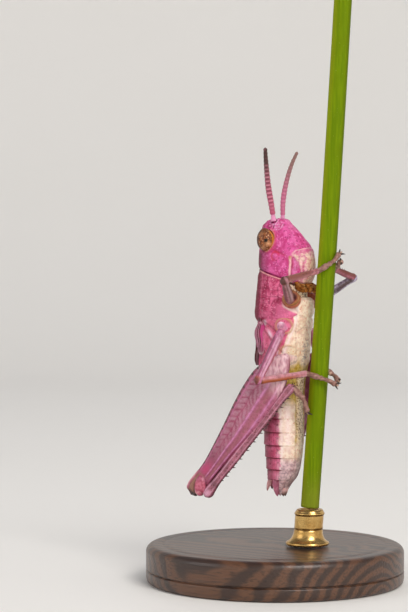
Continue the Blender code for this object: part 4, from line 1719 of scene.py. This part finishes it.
LEG_LOOKS = {name: leg_look(name, *colours) for name, colours in {
    "fore_thigh_right": ((168, 112, 122), (128, 78, 82), (96, 46, 30)),
    "fore_thigh_left": ((196, 182, 208), (98, 76, 92), (60, 34, 32)),
    "fore_shin_right": ((190, 122, 132), (160, 92, 100), (128, 70, 62)),
    # the left fore shin is a darker copy of the right one: painted shade
    "fore_shin_left": ((176, 96, 114), (136, 62, 76), (108, 44, 38)),
    "mid_thigh": ((192, 118, 154), (166, 86, 118), (158, 72, 46)),
    "mid_shin": ((194, 124, 136), (162, 94, 104), (160, 78, 34)),
}.items()}

# %% Thigh of a walking leg
def round_leg(grid, share, hip_at, knee, side):
    """Each point's share of outward and of forward direction."""
    run = unit(knee - hip_at)
    outer = np.array((.57, .82 * side, 0))
    outer = unit(outer - run * (outer @ run))
    front = np.cross(run, outer)
    front *= np.sign(front[0])
    offset = grid - (hip_at + (knee - hip_at) * share[..., None])
    far = np.linalg.norm(offset, axis=-1) + 1e-6
    return (offset @ outer) / far, (offset @ front) / far


def walking_thigh(name, word, side, hip_at, knee, ankle):
    """A thigh with two striped ridges."""
    thigh, share, _ = straight(hip_at, knee, ankle - knee, THIGH)
    out, fore = round_leg(thigh, share, hip_at, knee, side)
    body = between(share, .12, .22, .9, .98)
    seen = body * ease(out, -.1, .3)
    lift = .02 * seen * (hump(fore - .42, .12) + hump(fore + .3, .1)
        - hump(fore - .05, .12))
    key = f"{name}_thigh_{word}" if name == "fore" else "mid_thigh"
    made = tube_piece(f"{name}_thigh_{word}", push(thigh, lift), {
        # the stripes on the outer face are partly painted highlight
        "stripe": seen * (.62 * hump(fore - .42, .2)
                          + .35 * hump(fore + .3, .12)),
        "band": seen * np.clip(hump(fore - .05, .13) + .9 * ease(
            fore, -.45, -.75), 0, 1),
        "under": .8 * ease(fore, .72, .95) * body + .9 * ease(
            share, .92, .98) * ease(fore, .5, -.1),
        "joint": .12 * hump(share - .08, .015) + .65 * ease(
            share, .95, 1.02) * ease(fore, .35, -.25)}, LEG_LOOKS[key])
    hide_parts(f"{name}_femur_{word}")

# %% Shin of a walking leg
THORN_PAIRS = 6


def walking_shin(name, word, side, hip_at, knee, ankle):
    """A shin with two rows of fine thorns below."""
    shin, share, turn = straight(knee, ankle, hip_at - knee, SHIN)
    run = unit(ankle - knee)
    inner = unit(hip_at - knee - run * ((hip_at - knee) @ run))
    across = np.cross(run, inner)
    parts = [(shin, {
        # the shin's pale stripe on its upper side is a painted highlight
        "stripe": .6 * hump(np.sin(turn) * -side - .6, .2) * ease(
            share, .05, .2),
        "under": ease(np.cos(turn), .1, -.7) * ease(share, 1, .6),
        "joint": .7 * ease(share, .1, .02) * ease(
            np.cos(turn), .4, -.4)})]
    for step in range(THORN_PAIRS):
        for way in (-1, 1):
            at = knee + (ankle - knee) * (.45 + .1 * step)
            aim = unit(-inner * .9 + across * way * .5 + run * .5)
            parts.append((spike(at + aim * .12, aim, .2, .028, 8, 6),
                {"stripe": 0, "under": 0, "joint": .9}))
    key = f"{name}_shin_{word}" if name == "fore" else "mid_shin"
    made = joined(f"{name}_shin_{word}", parts, LEG_LOOKS[key])
    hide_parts(f"{name}_tibia_{word}")


print("thorns on a shin", 2 * THORN_PAIRS)

# %% Four walking legs
for name, pair in (("fore", (FORE_RIGHT, FORE_LEFT)),
                   ("mid", (MID_RIGHT, MID_LEFT))):
    for (side, word), places in zip(SIDES, pair):
        hip_at, knee, ankle = map(np.array, places)
        hip(name, word, knee)
        walking_thigh(name, word, side, hip_at, knee, ankle)
        walking_shin(name, word, side, hip_at, knee, ankle)
        foot(name, word, ankle)

# %% [markdown]
# ## Jumping legs
# The hind thigh is the animal's spring: deep and flat, with a fishbone of
# plates where the muscle is anchored, keels along its edges, and a knee of
# ridge, soft skin and lobe. Modelled one by one, the plates would be stiff.
# They are drawn by slanting lines that repeat along the thigh, a little wavy,
# as grown things are.

# %% Sizes of the jumping legs
# stations as for the other legs
HIND_THIGH = ((-.03, .1, .1, .1), (0, .36, .36, .3), (.06, .72, .66, .4),
    (.16, 1.04, 1, .48), (.28, 1.09, 1.09, .5),
    (.4, 1, 1.05, .46), (.55, .8, .92, .38),
    (.7, .62, .7, .31), (.86, .5, .54, .27),
    (.94, .56, .5, .31), (1, .58, .44, .32),
    (1.035, .44, .3, .24), (1.055, .1, .06, .06))
HIND_SHIN = ((-.018, .05, .05, .05), (-.008, .22, .2, .18),
    (.015, .32, .32, .27), (.055, .33, .29, .26),
    (.11, .27, .23, .22), (.3, .27, .24, .22), (.7, .26, .23, .21),
    (.92, .25, .23, .21), (.985, .27, .27, .23), (1.01, .2, .2, .16),
    (1.02, .05, .05, .05))

print("hind thigh", np.linalg.norm(np.subtract(
    HIND_RIGHT[0], HIND_RIGHT[1])).round(2), "mm")

# %% Material of the hind thigh
look = Look("hind_thigh", rough=.4, coat=.12, scatter=.12)
look.relief(look.noise(.05, 3), .014)
pink = look.blotch((144, 62, 90), (176, 94, 124), .4, .35, .65)
pink = look.blotch(pink, (122, 42, 68), .09, .56, .7, detail=1)
plate = look.patchy("plate", .16, .32, .6, .35, detail=2)
pink = look.mix(plate, pink, (174, 122, 140))
pink = look.paint(pink, line=(146, 34, 76), low=(120, 46, 72),
    flush=(186, 46, 104))
mauve = look.blotch((146, 82, 92), (166, 88, 112), .14, .4, .64, detail=2)
pink = look.paint(pink, mauve=mauve)
keel = look.patchy("keel", .2, .35, .6, .55, detail=2)
pink = look.mix(keel, pink, (208, 134, 182))
hip_mix = look.patchy("hip", .16, .3, .66, .3, detail=1, stretch=(1, 1, .35))
pink = look.mix(hip_mix, pink, (232, 196, 202))
ball = look.blotch((168, 70, 94), (194, 102, 126), .16, .36, .62, detail=2)
# dark and pale include painted shade and painted highlights at knee and trough
pink = look.paint(pink, ball=ball, skin=(138, 96, 74), pale=(236, 184, 184),
    dark=(48, 20, 20))
THIGH_LOOK = look.finish(pink)

# %% Plates and keels of the hind thigh
PLATE = .42                     # length of one scale along the thigh


def fishbone(along, share, a, depth, body):
    """Field of the slanting plates and the lines between them."""
    field = between(a, .14, .18, .54, .58) * body
    spine = .36 + .02 * np.sin(along * 4)
    slant = np.where(a < spine, (spine - a) * .6, (a - spine) * 1.45)
    wobble = .12 * np.sin(along * 5.3 + a * 4) + .07 * np.sin(
        along * 13 + a * 17)
    phase = (along - slant * depth) / PLATE + wobble
    gap = hump(phase - np.round(phase), .15) * (
        .75 + .25 * np.sin(along * 7.1 + a * 23))
    line = np.clip(gap + .8 * hump(a - spine, .018), 0, 1) * field
    return field, line * between(share, .08, .2, .7, .84)


def thigh_faces(along, share, a, depth, face, inside, turn, body):
    """Relief and masks of both faces; a runs from back to belly edge."""
    keel = hump(a - .605, .035) * body
    upper = hump(a - .125, .025) * body
    lower = hump(a - .87, .03) * body
    hollow = hump(a - .74, .07) * body
    field, line = fishbone(along, share, a, depth, body)
    belly = np.cos(turn)        # 1 at the belly edge, -1 at the back
    lift = face * (.05 * keel + .035 * upper + .04 * lower
        - .035 * hollow + .018 * field - .03 * line)
    lift += inside * (.03 * hump(a - .5, .04) - .02 * hump(
        a - .3, .1) - .02 * hump(a - .7, .1)) * body
    # a keel along the back, and the trough that takes the shin
    lift += .03 * ease(belly, -.93, -1) * body
    lift -= .12 * ease(belly, .94, 1) * ease(share, .15, .3)
    dots = ease(np.cos(2 * math.pi * along / .45), .55, .9) * ease(
        belly, -.72, -.9) * body
    return lift, {
        "plate": .85 * face * field * (1 - line) * ease(share, .84, .7),
        "line": .55 * face * line,
        "mauve": face * hollow,
        "keel": face * (.85 * keel + .4 * upper + .7 * lower),
        "hip": .9 * face * ease(share - .08 * a, .2, .05),
        # dark: the thigh's own dots and darker back edge, and painted shade in
        # the trough that takes the shin
        "dark": .85 * dots + .45 * ease(a, .1, .03) * body
        + .5 * ease(belly, .9, .98) * body * ease(share, .16, .36)}

# %% Knee of the hind thigh
KNEE_RIDGE = np.array([(-1.1, -.46), (-.5, -.53), (0, -.57),
    (.32, -.48), (.5, -.26)])


def knee_relief(p, q, face, inside):
    """A ridge over the top, soft skin below it, and the side lobe."""
    at_knee = ease(p, -1.3, -.9) * np.maximum(face, inside)
    ridge = np.clip(sum(seam(p, q, *ends, .035) for ends in zip(
        KNEE_RIDGE, KNEE_RIDGE[1:])), 0, 1)
    way, off = p + .25, q - .165
    long, wide = way * .83 + off * .55, off * .83 - way * .55
    lobe = np.hypot(long / .61, wide / .32)
    skin = ease(q - np.interp(p, *KNEE_RIDGE.T), .05, .13) * ease(
        lobe, 1.02, 1.14) * ease(p, -1.1, -.6) * ease(q, .22, .02)
    end = np.clip(seam(p, q, (.46, -.22), (.4, .36), .16) * 1.6, 0, 1)
    curl = hump(np.hypot(p - .1, q - .34) - .13, .035)
    lift = at_knee * (.05 * ridge - .06 * skin + .08 * ease(lobe, 1.05, .7)
        - .07 * hump(lobe - 1.12, .1) * ease(
            long, -.5, -.1) - .02 * curl
        + .02 * hump(lobe - .8, .1) * ease(long, .1, .4))
    return lift, {
        "ball": at_knee * ease(lobe, 1.1, .9) * (
            1 - .7 * ease(long, -.15, -.55)),
        "skin": .9 * at_knee * skin,
        # pale: the ridge is pale; the lobe's edge and curl are painted
        # highlights
        "pale": at_knee * (.75 * ridge * ease(p, -1.1, -.6) + .8 * hump(
            lobe - .9, .09) * ease(long, .05, .35) + .4 * curl),
        "dark": at_knee * (.95 * end * ease(lobe, .9, 1.05)
                           + .55 * hump(lobe - 1.14, .1) * ease(
                               long, -.4, 0))}

# %% The hind thigh itself
def hind_thigh(side, word, hip_at, knee, ankle):
    """The thigh; gives its running and its inner direction."""
    grid, share, turn = straight(hip_at, knee, ankle - knee, HIND_THIGH,
        300, 150, 2.35)
    length = np.linalg.norm(knee - hip_at)
    run = (knee - hip_at) / length
    inner = unit((ankle - knee) - run * ((ankle - knee) @ run))
    outside = np.sign(np.cross(run, inner)[1] * side) * np.sin(turn)
    face, inside = ease(outside, .05, .35), ease(-outside, .05, .35)
    q = (grid - hip_at) @ inner  # from back edge to belly edge
    low, high = q.min(1, keepdims=True), q.max(1, keepdims=True)
    a, depth = (q - low) / (high - low), high - low
    along = share * length
    p = along - length          # from the knee
    body = between(share, .04, .12, .86, .93)
    lift, marks = thigh_faces(along, share, a, depth, face, inside, turn, body)
    knee_lift, knee_masks = knee_relief(p, q, face, inside)
    # a painted shadow in the gap between thigh and shin near the knee
    marks["dark"] = marks["dark"] + knee_masks.pop("dark") + .8 * ease(
        a, .92, .98) * between(p, -2.2, -1.7, -.6, -.35)
    marks.update(knee_masks, low=.6 * ease(share, .45, .85) * ease(
        p, -.5, -1.2), flush=face * (
            .7 * hump(p + 1.3, .45) * hump(a - .33, .25)
            + .3 * ease(a, .16, .06) * body))
    for word_of in ("mauve", "keel", "pale", "dark"):
        marks[word_of] = np.clip(marks[word_of], 0, 1)
    made = tube_piece(f"hind_thigh_{word}", push(grid, lift + knee_lift),
        marks, THIGH_LOOK)
    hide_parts(f"hind_femur_{word}")
    return run, inner

# %% [markdown]
# ## Hind shin
# The shin is a rod that folds against the thigh, with two rows of thorns and
# four spurs, which grip when the animal jumps. A particle system could scatter
# them, but theirs is a strict order, so two short loops set them one by one.

# %% Material of the hind shin
look = Look("hind_shin", rough=.4, coat=.1, scatter=.12)
look.relief(look.noise(.05, 3), .014)
pink = look.blotch((130, 70, 86), (170, 100, 120), .25, .35, .65)
pink = look.blotch(pink, (112, 46, 56), .1, .54, .68, detail=1)
# pale includes a painted highlight on the base bulge
pink = look.paint(pink, pale=(224, 164, 190), dark=(46, 22, 18))
SHIN_LOOK = look.finish(pink)

# %% Hind shin with thorns and spurs
THORNS, THORN_REACH, SPUR_REACH = 10, .3, .34


def dark_thorn(at, aim, reach, thick, low, high):
    """A thorn that darkens towards its tip."""
    return spike(at, aim, reach, thick, 12, 10), {
        "pale": 0, "dark": ease(np.linspace(0, 1, 12), low, high)[:, None]}


def hind_shin(word, knee, ankle, run, inner):
    """The shin starts inside the knee and carries its thorns below."""
    start = knee - run * .06 + inner * .68
    grid, share, turn = straight(start, ankle, inner, HIND_SHIN, 260, 40, 2.2)
    way = unit(ankle - start)
    inside = unit(inner - way * (inner @ way))
    across = np.cross(way, inside)
    belly = np.cos(turn)
    parts = [(grid, {
        # pale: a painted highlight on the base bulge, and pale lines along the
        # shin
        "pale": np.clip(.9 * ease(share, .06, .02) * hump(belly - .1, .4)
                        + .6 * hump(belly + .45, .14)
                        + .5 * hump(belly - .55, .12), 0, 1),
        "dark": np.clip(.5 * hump(share - .1, .02) + .7 * ease(
            share, -.004, -.016) + .5 * ease(belly, .85, 1), 0, 1)})]
    for step in range(THORNS):
        for sign in (-1, 1):
            at = start + (ankle - start) * (
                .16 + .8 * (step + .25 * sign) / THORNS)
            aim = unit(inside * .85 + across * sign * .45 + way * .55)
            parts.append(dark_thorn(at + aim * .15, aim, THORN_REACH, .055,
                .25, .55))
    for sign in (-1, 1):
        for lean in (.3, .9):
            aim = unit(way * .9 + across * sign * .6 + inside * (
                lean - .4))
            parts.append(dark_thorn(ankle + aim * .1 - way * .05, aim,
                SPUR_REACH, .05, .3, .6))
    made = joined(f"hind_shin_{word}", parts, SHIN_LOOK)
    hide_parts(f"hind_tibia_{word}")


print("thorns on a hind shin", 2 * THORNS, "and spurs", 4)

# %% Both jumping legs
for (side, word), places in zip(SIDES, (HIND_RIGHT, HIND_LEFT)):
    hip_at, knee, ankle = map(np.array, places)
    hip("hind", word, knee)
    run, inner = hind_thigh(side, word, hip_at, knee, ankle)
    hind_shin(word, knee, ankle, run, inner)
    foot("hind", word, ankle)

# %% [markdown]
# ## Stand
# A round wooden foot with a brass ferrule holds the stem, as a cabinet piece
# has. Both would be turned on a lathe. Blender's screw modifier does the same
# from a profile. The ferrule leans with the stem, though, so the rings are
# made directly, each about its own centre.

# %% Turning
def turned(name, profile, centres, material, columns):
    """A lathe shape; each ring of its profile may have its own centre."""
    turn = turns(columns)
    rings = np.stack([centres[:, :1] + profile[:, :1] * np.cos(turn),
        centres[:, 1:] + profile[:, :1] * np.sin(turn),
        profile[:, 1:] + 0 * turn], -1)
    return tube_piece(name, rings - (BODY_X, 0, 0), {}, material)


def bead(radius, swell, low, tall, count):
    """A half-round bead on a profile, or a groove where swell is negative."""
    return [(radius + swell * math.sin(t), low + tall * t / math.pi)
        for t in np.linspace(0, math.pi, count)]


def box_of(node):
    """Low and high corner of a node in millimetres from the stand's axis."""
    return (np.array(corner[:]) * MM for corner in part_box(node))


print("stand's foot", [corner.round(1).tolist() for corner in box_of(
    "stand_base")])

# %% [markdown]
# ## Wood and brass
# Dark wood shows the rings of its tree as long arcs, with fine fibres along
# them. A scanned board would repeat, so a wave texture makes the arcs and
# noise bends them. Brass is plain metal, finely scored by the lathe and a
# little duller in places.

# %% Material of the wood
look = Look("stand_wood", rough=.38, coat=.25)
warp = look.noise(3, 2)
along = look.vector("MULTIPLY", look.mm, (.12, 1, 1))
bend = look.add("ShaderNodeVectorMath", operation="MULTIPLY_ADD")
look.put(bend.inputs[0], warp)
look.put(bend.inputs[1], (0, 1.6, 1.6))
look.put(bend.inputs[2], along)
grain = look.add("ShaderNodeTexWave", wave_type="RINGS", rings_direction="X")
grain.inputs["Scale"].default_value = .55
grain.inputs["Distortion"].default_value = 1.6
look.put(grain.inputs["Vector"], bend.outputs[0])
fibre = look.noise(.12, 3, (.05, 1, 1))
brown = look.mix(look.span(grain.outputs["Fac"], .15, .85), (92, 58, 36),
    (52, 31, 20))
brown = look.mix(look.span(fibre, .45, .75, 0, .7), brown, (36, 20, 13))
look.relief(fibre, .03)
WOOD_LOOK = look.finish(brown)

# %% Material of the brass
look = Look("stand_brass", rough=.26, metal=1)
turned_lines = look.noise(.06, 2, (.02, .02, 1))
look.relief(turned_lines, .004)
colour = look.blotch((212, 174, 108), (190, 148, 84), .6, .35, .7)
BRASS_LOOK = look.finish(colour, look.span(look.noise(.3), .3, .7, .2, .36))

# %% Wooden foot
def wooden_foot():
    """A disc with a foot, a groove, a round shoulder and a fine ring."""
    low, high = box_of("stand_base")
    radius, top = (high[0] - low[0]) / 2, high[2]
    profile = [(radius - .45, 0), (radius - .2, .03),
        (radius - .05, .14), (radius, .34)]
    profile += [(radius, h) for h in np.linspace(.5, .66, 3)]
    profile += bead(radius, -.1, .72, .14, 7)
    profile += [(radius, h) for h in np.linspace(.92, top - .45, 5)]
    profile += [(radius - .4 * (1 - math.cos(t)), top - .4
         + .4 * math.sin(t))
        for t in np.linspace(.1, math.pi / 2, 10)]
    profile += [(radius - .8, top), (radius - .95, top - .03),
        (radius - 1.05, top - .03), (radius - 1.2, top)]
    profile += [(r, top) for r in np.linspace(radius - 1.5, .2, 14)]
    return turned("stand_foot", np.array(profile),
        np.zeros((len(profile), 2)), WOOD_LOOK, 160)


base = wooden_foot()
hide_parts("stand_base")

# %% Brass ferrule
def ferrule():
    """A flared tube with a groove and a bead, round the leaning stem."""
    low, _ = box_of("stand_rod")
    profile = [(1.05, 0), (1.22, .02), (1.26, .1), (1.22, .2),
        (1.1, .26), (.98, .36), (.9, .52), (.85, .66),
        (.83, .78)]
    profile += bead(.83, -.03, .86, .1, 6)
    profile += [(.82, h) for h in (1.05, 1.4, 1.7)]
    profile += bead(.82, .05, 1.74, .18, 8)
    profile += [(.8, 1.97), (.76, 2.03), (.7, 2.08), (.62, 2.08),
        (.54, 2.05), (.5, 1.98)]
    profile = np.array(profile) + (0, low[2])
    foot_at, above = STEM_PATH[:2]
    centres = stem_at(np.maximum(profile[:, 1], foot_at[2]))[:, :2]
    lean = (above[0] - foot_at[0]) / (above[2] - foot_at[2])
    centres[:, 0] += BODY_X + lean * np.minimum(profile[:, 1] - foot_at[2], 0)
    return turned("stand_ferrule", profile, centres, BRASS_LOOK, 96)


rod = ferrule()
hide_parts("stand_rod")

# %% [markdown]
# ## Camera
# A short lens close by would swell the nearest knee. A long lens far off keeps
# the animal's proportions. It is level, on the animal's right and a little in
# front of its belly.

# %% Camera
VIEW_TURN = math.radians(35)
VIEW_HEIGHT = 35.58             # millimetres seen from top to bottom
LENS, SENSOR = 100, 36
AIM = np.array([-3.76, -2.63, 16.05])


def placed(name, data, place, rotation):
    """An object of the stage at a place in metres."""
    made = bpy.data.objects.new(name, data)
    bpy.context.scene.collection.objects.link(made)
    made.location, made.rotation_euler = place, rotation
    return made


away = VIEW_HEIGHT * LENS / SENSOR
data = bpy.data.cameras.new("camera")
data.lens, data.sensor_width = LENS, SENSOR
data.clip_start, data.clip_end = .001, 10
spot = AIM + away * np.array([math.sin(VIEW_TURN), -math.cos(VIEW_TURN), 0])
bpy.context.scene.camera = placed("camera", data, (spot + (BODY_X, 0, 0)) / MM,
    (math.pi / 2, 0, VIEW_TURN))
print("camera", round(away, 1), "mm away")

# %% [markdown]
# ## Floor
# A display piece is shown on a pale sheet that curves up behind it, so no
# corner is seen. A plane and a wall would meet in a line. Here one disc turns
# up into a wall all round, which looks the same from every side.

# %% Floor
FLAT, BEND, WALL_TOP = 260, 160, 220  # the floor's radius, curve and height


def floor(columns=96):
    """A pale floor that turns up into a wall all round."""
    profile = [(150, 0), (FLAT, 0)]
    profile += [(FLAT + BEND * math.sin(a), BEND - BEND * math.cos(a))
        for a in np.linspace(.1, math.pi / 2, 12)]
    profile += [(FLAT + BEND, WALL_TOP)]
    points = [(r * math.cos(t) / MM, r * math.sin(t) / MM, z / MM)
        for r, z in profile for t in turns(columns)[0]]
    faces = grid_faces(len(profile), columns, True).tolist()
    faces.append(list(range(columns))[::-1])
    mesh = bpy.data.meshes.new("floor")
    mesh.from_pydata(points, [], faces)
    mesh.shade_smooth()
    look = Look("floor", rough=.8)
    mesh.materials.append(look.finish(look.mix(
        look.noise(40), (246, 244, 240), (248, 246, 243))))
    placed("floor", mesh, (0, 0, 0), (0, 0, 0))
    print("floor", len(faces), "faces")


floor()

# %% [markdown]
# ## Lights
# Small shiny things need large soft lights, or they break up into glints. A
# warm key light comes from the right, a weak cool one fills the shadows, and
# one from behind parts the edge of the back from the floor. The world adds an
# even, pale light from all round.

# %% Lights
LIT_HEIGHT = 14                 # the lamps look at the middle of the animal


def lamp(name, turn, rise, reach, size, power, colour=(1, 1, 1)):
    """A square soft light; turn and rise in degrees, reach in mm."""
    light = bpy.data.lights.new(name, "AREA")
    light.size, light.energy, light.color = size / MM, power, colour
    turn, rise = math.radians(turn), math.radians(rise)
    way = np.array([math.sin(turn) * math.cos(rise),
        -math.cos(turn) * math.cos(rise), math.sin(rise)])
    return placed(name, light, (way * reach + (0, 0, LIT_HEIGHT)) / MM,
        (math.pi / 2 - rise, 0, turn))


lamp("key", 62, 40, 460, 200, 1.34, (1, .97, .93))
lamp("fill", -35, 22, 390, 240, .27, (.95, .97, 1))
lamp("rim", 200, 50, 380, 190, .14)
world = bpy.data.worlds.new("world")
world.use_nodes = True
sky = world.node_tree.nodes["Background"].inputs
sky[0].default_value, sky[1].default_value = (.94, .95, 1, 1), .27
bpy.context.scene.world = world
bpy.context.scene.view_settings.view_transform = "Standard"
print("lights", len(bpy.data.lights), "and the sky", sky[1].default_value)
